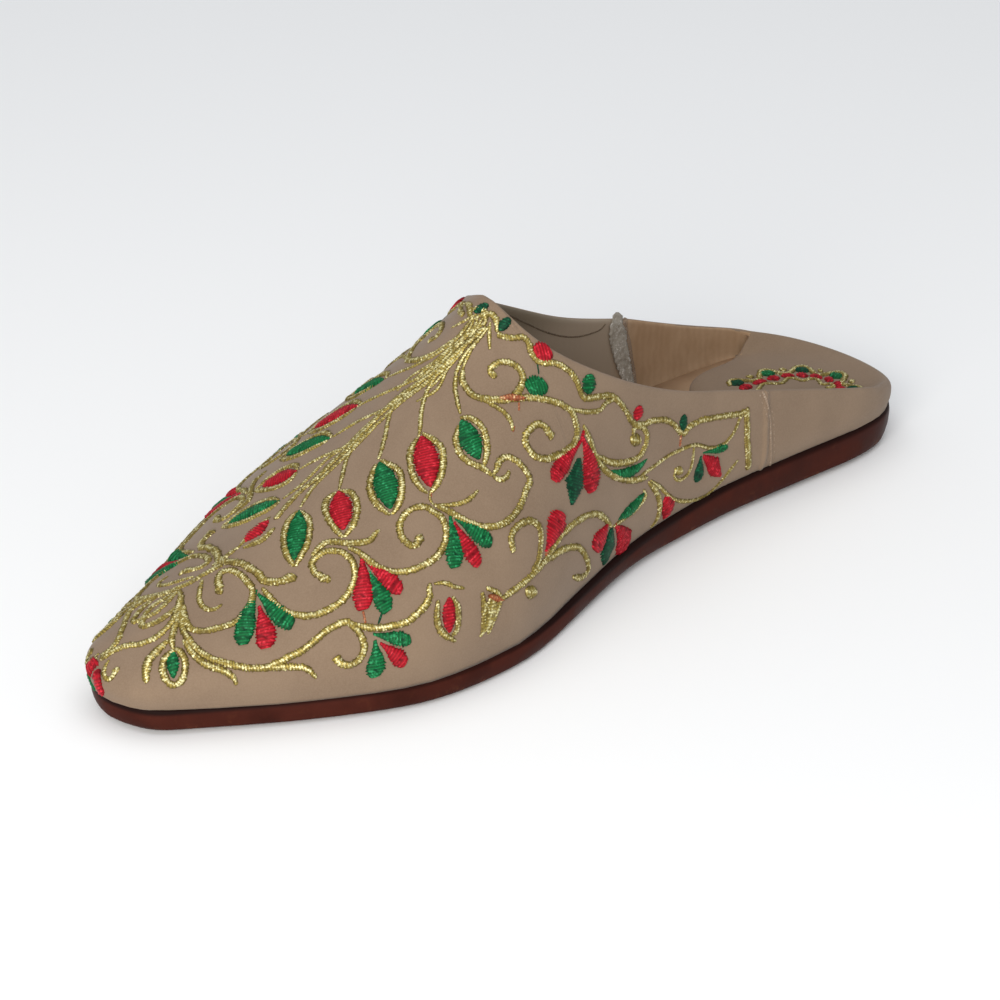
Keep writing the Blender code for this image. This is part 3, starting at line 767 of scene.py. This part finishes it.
def evenOut(places, step):
    # eases small jumps and spaces the places evenly
    for turn in range(2):
        inner = [(a + b * 2 + c) / 4 for a, b, c in zip(places, places[1:], places[2:])]
        places = [places[0], *inner, places[-1]]
    spaced = [places[0]]
    left = step
    for start, stop in zip(places, places[1:]):
        length = (stop - start).length
        gone = left
        while gone <= length:
            spaced.append(start.lerp(stop, gone / length))
            gone += step
        left = gone - length
    return spaced


def layOn(places, skin):
    laid = [skin.find_nearest(place) for place in places]
    normals = [found[1] for found in laid]
    for turn in range(3):
        inner = [(a + b + c).normalized() for a, b, c in zip(normals, normals[1:], normals[2:])]
        normals = [normals[0], *inner, normals[-1]]
    return [found[0] for found in laid], normals


middleStep = 4
middleLine = castSpots(chartPath(middleChart, middleStep), outerSkin)


def mirrorMiddle(x):
    # the sewn design's own middle, from the toe to the throat and on to the heel
    if x <= middleLine[0].x:
        return middleLine[0].y + (middleAt(x) - middleAt(middleLine[0].x))
    for start, stop in zip(middleLine, middleLine[1:]):
        if start.x <= x <= stop.x:
            return start.y + (stop.y - start.y) * (x - start.x) / max(stop.x - start.x, tiny)
    return middleLine[-1].y


def mirrored(places):
    return [Vector((place.x, 2 * mirrorMiddle(place.x) - place.y, place.z)) for place in places]


# sizes in metres unless a share, and charts in spots of the photo
threadValues = {
    "step": 0.00036,
    "fillStep": 0.0004,
    "castStep": 1.5,
    "mm": 0.001,
    "spotsPerMm": 3.5,
    "lineRise": 0.56,
    "overRise": 0.0013,
    "fillRise": 0.72,
    "fillShape": 0.46,
    "lineRing": [(1.0, -0.35), (0.95, 0.3), (0.6, 0.8), (0.0, 1.0), (-0.6, 0.8), (-0.95, 0.3), (-1.0, -0.35),
        (0.0, -0.5)],
    "fillRing": [(1.0, -0.35), (0.94, 0.3), (0.72, 0.68), (0.38, 0.92), (0.0, 1.0), (-0.38, 0.92),
        (-0.72, 0.68), (-0.94, 0.3), (-1.0, -0.35), (0.0, -0.45)],
    "ridge": 0.14,
    "edgeRidge": 0.6,
    "jitter": 0.08,
    "barb": 0.2,
    "fillBarb": 0.11,
    "widest": 1.6,
    # painted shade on the stitches: in random gaps, in the valleys between stitches, on their low flanks and
    # in a petal's eye
    "gap": 0.2,
    "gapFrom": 0.8,
    "gapPaintedShade": 0.82,
    "valleyPaintedShade": 0.72,
    "flankPaintedShade": 0.28,
    "flankBelow": 0.5,
    "eyeAt": 0.74,
    "eyeLong": 1.1,
    "eyeDepth": 0.5,
    "slant": 0.3,
    "slantWidest": 0.0009,
    "endFrom": 0.6,
    "tail": 0.0045,
    "tailFrom": 2,
    "tailThin": 0.45,
    "knob": 0.45,
    "fillFrom": 0.35,
    "fillTo": 0.3,
    "thinnest": 0.00012,
    "seed": 7,
}
chance = random.Random(threadValues["seed"])


def newStore():
    return {"corners": [], "faces": [], "along": [], "hollow": []}


def sewRings(store, places, normals, halfWidths, rises, ring, barb, eye=None):
    # one closed run of stitches: a ring of points for each stitch, half of it sunk in the leather
    values = threadValues
    count = len(places)
    if count < 3:
        return
    size = len(ring)
    first = len(store["corners"])
    for index in range(count):
        ahead = places[min(index + 1, count - 1)] - places[max(index - 1, 0)]
        if ahead.length < tiny:
            ahead = places[-1] - places[0]
        ahead.normalize()
        side = ahead.cross(normals[index]).normalized()
        up = side.cross(ahead).normalized()
        sign = 1 if index % 2 else -1
        bulge = 1 + sign * values["ridge"] + chance.uniform(-1, 1) * values["jitter"]
        edgeWave = 1 + sign * values["ridge"] * values["edgeRidge"]
        edges = [edgeWave + chance.uniform(-1, 1) * barb for part in range(2)]
        lean = values["slant"] * min(halfWidths[index], values["slantWidest"])
        inGap = chance.random() < values["gap"]
        gapFrom = chance.uniform(0.0, values["gapFrom"])
        valleyShade = 0.0 if sign > 0 else values["valleyPaintedShade"]
        for across, rise in ring:
            edge = edges[0] if across > 0 else edges[1]
            spot = places[index] + side * (across * halfWidths[index] * edge) + ahead * (across * lean)
            inEye = eye is not None and rise == 1.0 and abs(index - eye * count) < values["eyeLong"]
            lift = rise * rises[index] * (bulge if rise > 0 else 1)
            if inEye:
                lift *= values["eyeDepth"]
            store["corners"].append(spot + up * lift)
            # painted shade: darker in the valleys between stitches, on the low flanks, in random gaps and in
            # a petal's eye
            hollow = valleyShade + (values["flankPaintedShade"] if rise < values["flankBelow"] else 0.0)
            if inGap and abs(across) > gapFrom:
                hollow = values["gapPaintedShade"]
            store["hollow"].append(1.0 if inEye else hollow)
            store["along"].append((index * values["step"] / values["mm"], 0.5 + across / 2))
    for index in range(count - 1):
        low = first + index * size
        for step in range(size):
            after = (step + 1) % size
            store["faces"].append((low + step, low + after, low + size + after, low + size + step))
    store["faces"].append(tuple(first + step for step in range(size)))
    store["faces"].append(tuple(first + (count - 1) * size + step for step in range(size)))


def sewLine(store, places, skin, halfWidth, ends="even"):
    values = threadValues
    places, normals = layOn(evenOut(places, values["step"]), skin)
    count = len(places)
    widths = []
    for index in range(count):
        fromEnd = min(index, count - 1 - index) + values["endFrom"]
        share = min(fromEnd * values["step"] / halfWidth, 1.0)
        tail = min((fromEnd + values["tailFrom"]) * values["step"] / values["tail"], 1.0)
        if ends == "even":
            tail = 1.0
        elif ends == "thick" and index > count / 2:
            tail = 1.0 + values["knob"] * (1 - tail)
        else:
            tail = values["tailThin"] + (1 - values["tailThin"]) * tail
        widths.append(halfWidth * math.sqrt(1 - (1 - share) ** 2) * tail)
    rises = [width * values["lineRise"] for width in widths]
    sewRings(store, places, normals, widths, rises, values["lineRing"], values["barb"])


# the shares of the filled shapes: where they are widest, how wide they start and how they round off
fillValues = {
    "petalTop": 0.72,
    "petalStart": 0.18,
    "petalCurve": 1.9,
    "petalEnd": 0.3,
    "leafCurve": 0.75,
    "diamondTop": 0.55,
    "diamondStart": 0.15,
    "lineSlope": 6,
    "lineStart": 0.3,
}


def fillShare(kind, t):
    # how wide a filled shape is along its middle, as a share of its widest
    values = fillValues
    if kind == "petal":
        top = values["petalTop"]
        if t < top:
            rise = math.sin(math.pi / 2 * t / top) ** values["petalCurve"]
            return values["petalStart"] + (1 - values["petalStart"]) * rise
        return math.sqrt(max(1 - ((t - top) / values["petalEnd"]) ** 2, 0))
    if kind in ("leaf", "over"):
        return max(math.sin(math.pi * t), 0.0) ** values["leafCurve"]
    if kind == "diamond":
        top = values["diamondTop"]
        return min(t / top, (1 - t) / (1 - top)) * (1 - values["diamondStart"]) + values["diamondStart"]
    if kind == "dot":
        return math.sqrt(max(1 - (2 * t - 1) ** 2, 0.0))
    return min(1.0, values["lineSlope"] * min(t, 1 - t) + values["lineStart"])


def sewFill(store, places, skin, kind, halfWidth):
    values = threadValues
    places, normals = layOn(evenOut(places, values["fillStep"]), skin)
    count = len(places)
    widths = []
    for index in range(count):
        t = (index + values["fillFrom"]) / (count - values["fillTo"])
        widths.append(max(halfWidth * fillShare(kind, t), values["thinnest"]))
    rises = [min(width * values["fillShape"], values["fillRise"] * values["mm"]) for width in widths]
    if kind == "over":
        rises = [values["overRise"]] * count
    eye = values["eyeAt"] if kind == "petal" else None
    sewRings(store, places, normals, widths, rises, values["fillRing"], values["fillBarb"], eye)


def finishThread(store, name, material):
    data = bpy.data.meshes.new(name)
    data.from_pydata([tuple(corner) for corner in store["corners"]], [], store["faces"])
    layer = data.uv_layers.new(name="stitches")
    for loop in data.loops:
        layer.data[loop.index].uv = store["along"][loop.vertex_index]
    data.attributes.new("hollow", "FLOAT", "POINT").data.foreach_set("value", store["hollow"])
    piece = bpy.data.objects.new(name, data)
    bpy.context.scene.collection.objects.link(piece)
    selectOnly(piece)
    bpy.ops.object.mode_set(mode="EDIT")
    bpy.ops.mesh.select_all(action="SELECT")
    bpy.ops.mesh.normals_make_consistent(inside=False)
    bpy.ops.object.mode_set(mode="OBJECT")
    bpy.ops.object.shade_smooth()
    data.materials.append(material)
    declare(piece)
    triangles = sum(len(face.vertices) - 2 for face in data.polygons)
    print("scene:", name, "triangles", triangles)
    return piece


def halfOnLeather(kind, spots, half):
    # a shape's half width in metres, where its two edges meet the leather
    middle = Vector(spots[len(spots) // 2])
    ahead = (Vector(spots[-1]) - Vector(spots[0])).normalized()
    aside = Vector((-ahead.y, ahead.x)) * half
    usual = half / threadValues["spotsPerMm"] * threadValues["mm"]
    rays = [photoRay(spot) for spot in (middle + aside, middle - aside)]
    hits = [outerSkin.ray_cast(cameraValues["place"], ray)[0] for ray in rays]
    if None in hits or kind == "dot":
        return usual
    return min(max((hits[0] - hits[1]).length / 2, usual), usual * threadValues["widest"])


def castChart(spots, skin):
    return castSpots(chartPath(spots, threadValues["castStep"]), skin)


def endsOf(name):
    if name in evenEnds:
        return "even"
    return "thick" if name in thickEnds else "thin"


storeNames = ("goldNear", "goldFar", "red", "green", "darkGreen", "orange", "seam", "liningSeam")
stores = {name: newStore() for name in storeNames}
for name, spots in goldChart.items():
    places = castChart(spots, outerSkin)
    halfWidth = halfOfLine.get(name, goldUsual) * threadValues["mm"]
    sewLine(stores["goldNear"], places, outerSkin, halfWidth, endsOf(name))
    if name not in sewnOnce:
        sewLine(stores["goldFar"], mirrored(places), outerSkin, halfWidth, endsOf(name))
for name, shapes in satinChart.items():
    for colour, kind, spots, half in shapes:
        places = castChart(spots, outerSkin)
        halfWidth = halfOnLeather(kind, spots, half)
        nearStore, farStore = ("goldNear", "goldFar") if colour == "gold" else (colour, colour)
        sewFill(stores[nearStore], places, outerSkin, kind, halfWidth)
        if name not in satinOnce:
            sewFill(stores[farStore], mirrored(places), outerSkin, kind, halfWidth)


flapLine = chartPath(flapValues["line"], flapValues["lineStep"])


def flapSpot(share, off):
    # a place on the fold, a share of the way along the motif's line; off is the way outwards
    along = min(max(share, 0.0), 1.0) * (len(flapLine) - 1)
    low = min(int(along), len(flapLine) - 2)
    ahead = (flapLine[low + 1] - flapLine[low]).normalized()
    spot = flapLine[low].lerp(flapLine[low + 1], along - low) + Vector((-ahead.y, ahead.x)) * off
    above = Vector((spot.x * threadValues["mm"], spot.y * threadValues["mm"], flapValues["high"]))
    return outerSkin.ray_cast(above, Vector((0, 0, -1)))[0]


def sewFlapFill(storeName, kind, middle, values, pockets):
    length = values["long"] / pockets
    places = [flapSpot(middle + length * part, values["off"]) for part in (-0.5, 0.0, 0.5)]
    sewFill(stores[storeName], places, outerSkin, kind, values["half"] * threadValues["mm"])


def sewFlap():
    turns = flapValues["turns"]
    for line in (flapValues["outer"], flapValues["inner"]):
        places = []
        for step in range(turns + 1):
            wave = math.sin(2 * math.pi * flapValues["waves"] * step / turns)
            places.append(flapSpot(step / turns, line["off"] + line["swing"] * wave))
        sewLine(stores["goldNear"], places, outerSkin, line["half"])
    pockets = round(2 * flapValues["waves"])
    for index in range(pockets):
        middle = (index + 0.5) / pockets
        if index % 2 == 0:
            green = flapValues["greens"][index // 2 % 2]
            sewFlapFill(green, "leaf", middle, flapValues["greenLeaf"], pockets)
        else:
            sewFlapFill("goldNear", "dot", middle, flapValues["knob"], pockets)
        sewFlapFill("red", "leaf", middle, flapValues["redLeaf"], pockets)


sewFlap()
print("scene: the stitches are laid")

# the side seams: a raised join with a row of pale stitches on either side, and a stitched arc inside
seamValues = {
    "spots": [(762, 391), (767, 402), (770, 418), (771, 440), (771, 458), (770, 467)],
    "halfWidth": 0.00042,
    "stitchHalf": 0.00016,
    "stitchLong": 0.0013,
    "stitchEvery": 0.0023,
    "stitchOff": 0.0013,
    "stitchFrom": 2,
    "arc": [(505, 313), (530, 325), (552, 334), (575, 337), (598, 331), (606, 323)],
    "arcHalf": 0.000256,
    "farSide": -0.014,
}
farSkin = BVHTree.FromPolygons([vertex.co.copy() for vertex in upperPiece.data.vertices],
    [tuple(face.vertices) for face in upperPiece.data.polygons
        if face.material_index == 1 and face.center.y < seamValues["farSide"]])


def sewSeam(store, places):
    sewLine(store, places, outerSkin, seamValues["halfWidth"])
    every = round(seamValues["stitchEvery"] / threadValues["step"])
    long = round(seamValues["stitchLong"] / threadValues["step"])
    for side in (-1, 1):
        beside = [place + Vector((side * seamValues["stitchOff"], 0, 0)) for place in places]
        row = evenOut(beside, threadValues["step"])
        for first in range(seamValues["stitchFrom"], len(row) - long, every):
            sewLine(store, row[first:first + long + 1], outerSkin, seamValues["stitchHalf"])


seamPlaces = castChart(seamValues["spots"], outerSkin)
sewSeam(stores["seam"], seamPlaces)
sewSeam(stores["seam"], mirrored(seamPlaces))
sewLine(stores["liningSeam"], castChart(seamValues["arc"], farSkin), farSkin, seamValues["arcHalf"])

# a whitish woven tape covers the far seam inside and sticks out above the edge
tapeValues = {
    "left": [(611, 321), (609, 328), (609, 340), (612, 353), (616, 366), (621, 380), (626, 396)],
    "right": [(621, 321), (624, 328), (627, 342), (629, 356), (631, 369), (633, 383), (636, 398)],
    "edge": [(623, 321), (626, 332), (629, 345), (631, 358), (633, 370), (635, 384), (638, 400)],
    "edgeHalf": 0.0007,
    "rowStep": 1.2,
    "columns": 8,
    "lift": 0.00035,
    "tip": 0.0031,
    "tipWidth": 0.25,
    "rimGap": 0.0016,
    "fray": 0.00035,
    "thick": 0.0002,
    "colour": (0.42, 0.385, 0.325),
    "pale": (0.72, 0.69, 0.64),
    "dark": (0.27, 0.24, 0.195),
    "paleAt": (0.52, 0.66),
    "grain": (1900.0, 700.0),
    "bump": (0.6, 0.0003),
    "shader": {"Roughness": 0.7, "Specular IOR Level": 0.3},
}


def makeWoven(values):
    material, tree, place = newMaterial("wovenTape")
    height, fleck, cloud = placeGrain(tree, place, *values["grain"])
    base = mixColours(tree, cloud, values["dark"], values["colour"])
    colour = mixColours(tree, rangeNode(tree, height, *values["paleAt"]), base, values["pale"])
    bump = bumpNode(tree, height, *values["bump"])
    finishShader(tree, {"Base Color": colour, "Normal": bump, **values["shader"]})
    return material


def makeTape(values):
    leftPath = chartPath(values["left"], values["rowStep"])
    rightPath = chartPath(values["right"], values["rowStep"])
    rows = min(len(leftPath), len(rightPath))
    columns = values["columns"]
    corners = []
    for row in range(rows):
        left = leftPath[round(row * (len(leftPath) - 1) / (rows - 1))]
        right = rightPath[round(row * (len(rightPath) - 1) / (rows - 1))]
        spots = [left.lerp(right, column / (columns - 1)) for column in range(columns)]
        for column, place in enumerate(castSpots(spots, farSkin)):
            spot = place + farSkin.find_nearest(place)[1] * values["lift"]
            if column in (0, columns - 1):
                spot += Vector((chance.uniform(-1, 1) * values["fray"], 0, 0))
            corners.append(spot)
    # one row up to the rim, and a narrow one that sticks out above it
    atRim = [corner + Vector((0, 0, values["rimGap"])) for corner in corners[:columns]]
    tip = sum(atRim, Vector()) / columns + Vector((0, 0, values["tip"] - values["rimGap"]))
    corners = [tip.lerp(corner, values["tipWidth"]) for corner in atRim] + atRim + corners
    faces = []
    for row in range(rows + 1):
        for column in range(columns - 1):
            low = row * columns + column
            faces.append((low, low + 1, low + columns + 1, low + columns))
    data = bpy.data.meshes.new("seamTape")
    data.from_pydata([tuple(corner) for corner in corners], [], faces)
    tape = bpy.data.objects.new("seamTape", data)
    bpy.context.scene.collection.objects.link(tape)
    selectOnly(tape)
    wall = tape.modifiers.new("thickness", "SOLIDIFY")
    wall.thickness = values["thick"]
    wall.offset = 0
    applyModifiers(tape)
    bpy.ops.object.shade_smooth()
    tape.data.materials.append(makeWoven(values))
    declare(tape)


makeTape(tapeValues)
sewLine(stores["seam"], castChart(tapeValues["edge"], farSkin), farSkin, tapeValues["edgeHalf"])
print("scene: the seams and the tape are made")

# sewing threads: one twist pattern with painted glints, sparks and shade, a colour for each kind
twistValues = {
    "turns": 26.0,
    "lean": 9.0,
    "cells": 1900.0,
    # painted glints in random cells, and painted highlight sparks in a row along one side of each line
    "glintAt": (0.8, 0.92),
    "rowFrom": (0.2, 0.32),
    "rowTo": (0.5, 0.62, 1.0, 0.0),
    "sparkAt": (0.5, 0.62),
    # painted shade: random dark patches where the sheen would turn away, and the other side of each line
    # darker
    "patch": (60.0, 1.0),
    "patchAt": (0.47, 0.6),
    "patchShare": 0.6,
    "shadedSide": (0.58, 0.85),
}


def makeThreadGroup(values):
    group, entry, leave = newGroup("threadTwist", {"Stitches": "Vector", "Vector": "Vector"},
        ("Height", "Glint", "Tone", "Spark", "Shade"))
    split = makeNode(group, "ShaderNodeSeparateXYZ", {0: entry["Stitches"]}).outputs
    turned = plus(group, times(group, split["X"], values["turns"]), times(group, split["Y"], values["lean"]))
    wave = mathNode(group, "SINE", turned)
    feed(group, leave["Height"], times(group, plus(group, wave, 1.0), 0.5))
    cells = makeNode(group, "ShaderNodeTexVoronoi", {"Vector": entry["Vector"], "Scale": values["cells"]})
    cell = makeNode(group, "ShaderNodeSeparateXYZ", {0: cells.outputs["Color"]}).outputs
    # painted glints
    feed(group, leave["Glint"], rangeNode(group, cell["X"], *values["glintAt"]))
    feed(group, leave["Tone"], rangeNode(group, cell["Y"], 0.0, 1.0))
    # painted highlight: sparks only in a row along one side of the line
    rowFrom = rangeNode(group, split["Y"], *values["rowFrom"])
    rowTo = rangeNode(group, split["Y"], *values["rowTo"])
    sparks = rangeNode(group, cell["Z"], *values["sparkAt"])
    feed(group, leave["Spark"], times(group, sparks, times(group, rowFrom, rowTo)))
    # painted shade: random patches and one side of the line
    patch = rangeNode(group, noiseNode(group, entry["Vector"], *values["patch"]), *values["patchAt"])
    shadedSide = rangeNode(group, split["Y"], *values["shadedSide"])
    shade = mathNode(group, "MAXIMUM", times(group, patch, values["patchShare"]), shadedSide)
    feed(group, leave["Shade"], shade)
    return group


threadGroup = makeThreadGroup(twistValues)
satinShader = {"Roughness": 0.5, "Specular IOR Level": 0.16}
plainShader = {"Roughness": 0.7, "Specular IOR Level": 0.2}
threadFinish = {"toneShare": 0.5, "bump": (0.5, 0.0001)}
threadColours = {
    # each thread's darkest colour is its painted shade and its brightest its painted glint; base and mid are
    # its own tones
    "goldThread": {"base": (0.5, 0.38, 0.08), "mid": (0.32, 0.235, 0.042), "dark": (0.11, 0.072, 0.01),
        "paintedGlint": (1.0, 0.93, 0.5), "shade": 0.55, "spark": 0.9,
        "shader": {"Roughness": 0.36, "Metallic": 0.55, "Specular IOR Level": 0.6}},
    "redThread": {"base": (0.52, 0.008, 0.02), "mid": (0.37, 0.005, 0.014), "dark": (0.13, 0.001, 0.004),
        "paintedGlint": (0.72, 0.035, 0.055), "shade": 0.3, "spark": 0.25, "shader": satinShader},
    "greenThread": {"base": (0.004, 0.175, 0.045), "mid": (0.003, 0.11, 0.03), "dark": (0.0, 0.03, 0.01),
        "paintedGlint": (0.03, 0.32, 0.12), "shade": 0.3, "spark": 0.25, "shader": satinShader},
    "darkGreenThread": {"base": (0.002, 0.07, 0.028), "mid": (0.001, 0.045, 0.018),
        "dark": (0.0, 0.018, 0.008), "paintedGlint": (0.012, 0.14, 0.06), "shade": 0.3, "spark": 0.25,
        "shader": satinShader},
    "orangeThread": {"base": (0.42, 0.11, 0.03), "mid": (0.32, 0.08, 0.02), "dark": (0.14, 0.03, 0.01),
        "paintedGlint": (0.75, 0.5, 0.25), "shade": 0.3, "spark": 0.3,
        "shader": {"Roughness": 0.45, "Specular IOR Level": 0.4}},
    "seamThread": {"base": (0.34, 0.25, 0.18), "mid": (0.29, 0.21, 0.145), "dark": (0.2, 0.14, 0.095),
        "paintedGlint": (0.42, 0.33, 0.25), "shade": 0.12, "spark": 0.0, "shader": plainShader},
    "liningThread": {"base": (0.2, 0.15, 0.1), "mid": (0.17, 0.125, 0.08), "dark": (0.09, 0.065, 0.04),
        "paintedGlint": (0.24, 0.19, 0.13), "shade": 0.12, "spark": 0.0, "shader": plainShader},
}


def makeThread(name, values):
    material, tree, place = newMaterial(name)
    stitches = tree.nodes.new("ShaderNodeUVMap")
    stitches.uv_map = "stitches"
    sockets = {"Stitches": stitches.outputs["UV"], "Vector": place}
    twist = makeNode(tree, "ShaderNodeGroup", sockets, node_tree=threadGroup).outputs
    # the stitches' painted shade, laid on each corner when they are sewn
    hollow = makeNode(tree, "ShaderNodeAttribute", {}, attribute_name="hollow").outputs["Fac"]
    tone = times(tree, twist["Tone"], threadFinish["toneShare"])
    stitchShaded = mixColours(tree, hollow, mixColours(tree, tone, values["base"], values["mid"]), values["dark"])
    # painted shade from the twist pattern, then painted glints and sparks on top, none in the stitches'
    # painted shade
    shaded = mixColours(tree, times(tree, twist["Shade"], values["shade"]), stitchShaded, values["dark"])
    glints = mathNode(tree, "MAXIMUM", twist["Glint"], times(tree, twist["Spark"], values["spark"]))
    glint = times(tree, glints, mathNode(tree, "SUBTRACT", 1.0, hollow))
    colour = mixColours(tree, glint, shaded, values["paintedGlint"])
    bump = bumpNode(tree, twist["Height"], *threadFinish["bump"])
    finishShader(tree, {"Base Color": colour, "Normal": bump, **values["shader"]})
    return material


threads = {name: makeThread(name, values) for name, values in threadColours.items()}
threadPieces = (
    ("seam", "sideSeams", "seamThread", "nubuck_beige"),
    ("liningSeam", "liningSeam", "liningThread", "insole_tan"),
    ("goldNear", "goldEmbroideryInner", "goldThread", "nubuck_beige"),
    ("goldFar", "goldEmbroideryOuter", "goldThread", "nubuck_beige"),
    ("red", "redEmbroidery", "redThread", "nubuck_beige"),
    ("green", "greenEmbroidery", "greenThread", "nubuck_beige"),
    ("darkGreen", "darkGreenEmbroidery", "darkGreenThread", "nubuck_beige"),
    ("orange", "orangeEmbroidery", "orangeThread", "nubuck_beige"),
)
for storeName, pieceName, threadName, slotName in threadPieces:
    finishThread(stores[storeName], pieceName, threads[threadName])
